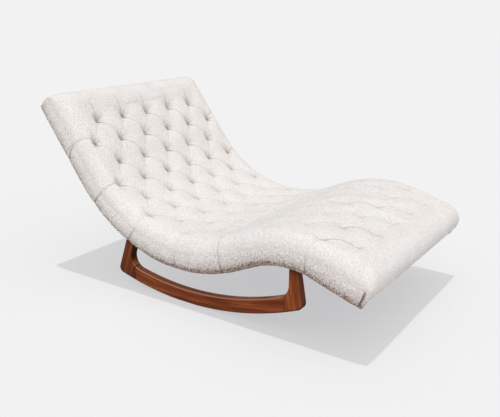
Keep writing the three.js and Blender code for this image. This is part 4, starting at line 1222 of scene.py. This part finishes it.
def place_along(post, inner):
    """Length along the wave at which a post's edge meets the dust cover."""
    along = np.linspace(0, WAVE_LENGTH, WAVE_POINTS)
    x, _, z = in_body(along, 0.0, DUST_COVER_DEPTH).T
    gap = x - SEAT_LOW_X - post_edge(post, z, inner)
    return float(np.interp(0, gap, along))


def add_dust_cover(material):
    """Black cloth stretched under the body, tucked to the cover's lower edge and let out round the posts. It
    follows the wave, sags a little between its edges, as one arch each way, and is drawn up a trifle at each
    staple along its edges, as a cosine."""
    ends = [HEAD_DRAW_IN + DUST_COVER_EDGE, WAVE_LENGTH + FOOT_PROUD - FOOT_DRAW_IN - DUST_COVER_EDGE]
    half_width = HALF_BODY - SIDE_DRAW_IN - DUST_COVER_EDGE
    half_notch = ROCKER_THICKNESS / 2 + POST_CLEARANCE
    notches = []
    for post in (REAR, FRONT):
        edges = sorted([place_along(post, False), place_along(post, True)])
        notches.append((edges[0] - POST_CLEARANCE, edges[1] + POST_CLEARANCE))
    inner_edge, outer_edge = ROCKER_MIDDLE_Y - half_notch, ROCKER_MIDDLE_Y + half_notch
    along_breaks = [ends[0], *notches[0], *notches[1], ends[1]]
    across_breaks = [-half_width, -outer_edge, -inner_edge, inner_edge, outer_edge, half_width]
    along, across = (
        np.concatenate([
            np.linspace(low, high, max(2, math.ceil((high - low) / DUST_COVER_STEP)), endpoint=False)
            for low, high in zip(breaks[:-1], breaks[1:])
        ] + [breaks[-1:]])
        for breaks in (along_breaks, across_breaks)
    )
    s, t = np.meshgrid(along, across, indexing="ij")
    part_s = (s - ends[0]) / (ends[1] - ends[0])
    part_t = (t + half_width) / (2 * half_width)
    sag = DUST_COVER_SAG * np.sin(np.pi * part_s) ** 0.5 * np.sin(np.pi * part_t) ** 0.5
    near_side = hill(half_width - np.abs(t), STAPLE_PITCH / 2)
    near_end = hill(np.minimum(s - ends[0], ends[1] - s), STAPLE_PITCH / 2)
    turn = 2 * np.pi / STAPLE_PITCH
    pucker = STAPLE_PUCKER * (near_side * (np.cos(turn * s) - 1) + near_end * (np.cos(turn * t) - 1)) / 2
    points = in_body(s, t, DUST_COVER_DEPTH + sag + pucker)
    faces = grid_faces(*s.shape, turned=True)
    middle_s, middle_t = (along[:-1] + along[1:]) / 2, (across[:-1] + across[1:]) / 2
    in_notch = np.any([(middle_s > low) & (middle_s < high) for low, high in notches], axis=0)
    in_post = (np.abs(middle_t) > inner_edge) & (np.abs(middle_t) < outer_edge)
    kept = faces[~(in_notch[:, None] & in_post[None, :])]
    piece = new_object("cambric_dust_cover", points, kept)
    weld(piece)
    thicken(piece, DUST_COVER_THICKNESS)
    piece.data.materials.append(material)
    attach(piece, "root")
    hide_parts("dust_cover")
    width, length = 2 * half_width, ends[1] - ends[0]
    holes = 2 * sum(high - low for low, high in notches) * (outer_edge - inner_edge)
    area = width * length - holes


def dress_hidden_parts(looks):
    """Materials of the pieces inside the body, which stay as the frame has them."""
    slots = {part["node"]: part["material_slot"] for part in frame["record"]["subparts"]}
    for name, piece in frame["nodes"].items():
        if slots[name] in looks:
            piece.data.materials.clear()
            piece.data.materials.append(looks[slots[name]])


def seen_share(shader):
    """1 for what the camera sees, straight on, in gloss or through glass, and 0 for light that only falls."""
    path = shader.node("ShaderNodeLightPath", {})
    return (path.out("Is Camera Ray") + path.out("Is Glossy Ray") + path.out("Is Transmission Ray")).limit()


def add_floor():
    """A pale floor. It shows the camera the backdrop's tone, darker where the object keeps light off it:
    part of what the camera sees is its own even tone and the rest is light that falls on it."""
    bpy.ops.mesh.primitive_plane_add(size=FLOOR_SIZE, location=(0, 0, 0))
    floor = bpy.context.object
    floor.name = "floor"
    shader = Shader("floor", Base_Color=FLOOR_BOUNCE, Roughness=1.0, Specular_IOR_Level=0.0)
    even = shader.node("ShaderNodeEmission", {}, (SHADOW_TONE, 1.0)).out()
    lit = shader.node("ShaderNodeBsdfDiffuse", {}, (FLOOR_LIT_TONE,)).out()
    shown = shader.node("ShaderNodeAddShader", {}, (even, lit)).out()
    body = Signal(shader, shader.surface.outputs[0])
    mixed = shader.node("ShaderNodeMixShader", {}, (seen_share(shader), body, shown)).out()
    shader.tree.links.new(mixed.socket, shader.tree.nodes["Material Output"].inputs["Surface"])
    floor.data.materials.append(shader.material)


def add_light():
    """An even bright room, shown to the camera and in reflections at the backdrop's tone, a high lamp, and a
    fill from the side of the camera that casts no shadow and isn't mirrored in the lacquer."""
    world = bpy.data.worlds.new("room")
    bpy.context.scene.world = world
    world.use_nodes = True
    room = Nodes(world.node_tree)
    lit = room.node("ShaderNodeBackground", {}, (rgb(255, 255, 255), ROOM_STRENGTH)).out()
    shown = room.node("ShaderNodeBackground", {}, (BACKDROP_TONE, 1.0)).out()
    mixed = room.node("ShaderNodeMixShader", {}, (seen_share(room), lit, shown)).out()
    room.tree.links.new(mixed.socket, room.tree.nodes["World Output"].inputs["Surface"])
    for name, share, angle, tilt, casts in (
        ("high_lamp", LAMP_SHARE, LAMP_ANGLE, LAMP_TILT, True),
        ("fill_lamp", FILL_SHARE, FILL_ANGLE, FILL_TILT, False),
    ):
        lamp_data = bpy.data.lights.new(name, "SUN")
        lamp_data.energy = share * math.pi
        lamp_data.angle = angle
        lamp_data.use_shadow = casts
        lamp = bpy.data.objects.new(name, lamp_data)
        lamp.visible_glossy = casts
        lamp.rotation_euler = tilt
        bpy.context.scene.collection.objects.link(lamp)


add_camera()
bpy.context.scene.view_settings.view_transform = "Standard"
add_floor()
add_light()
boucle = make_boucle()
walnut = make_walnut()
add_cover(boucle)
add_buttons(boucle)
add_rockers(walnut)
add_dust_cover(make_cambric())
timbers = {name: make_timber(name, *finish) for name, finish in TIMBERS.items()}
dress_hidden_parts({**timbers, "steel": make_steel(), "webbing": make_webbing(), "foam": make_foam()})
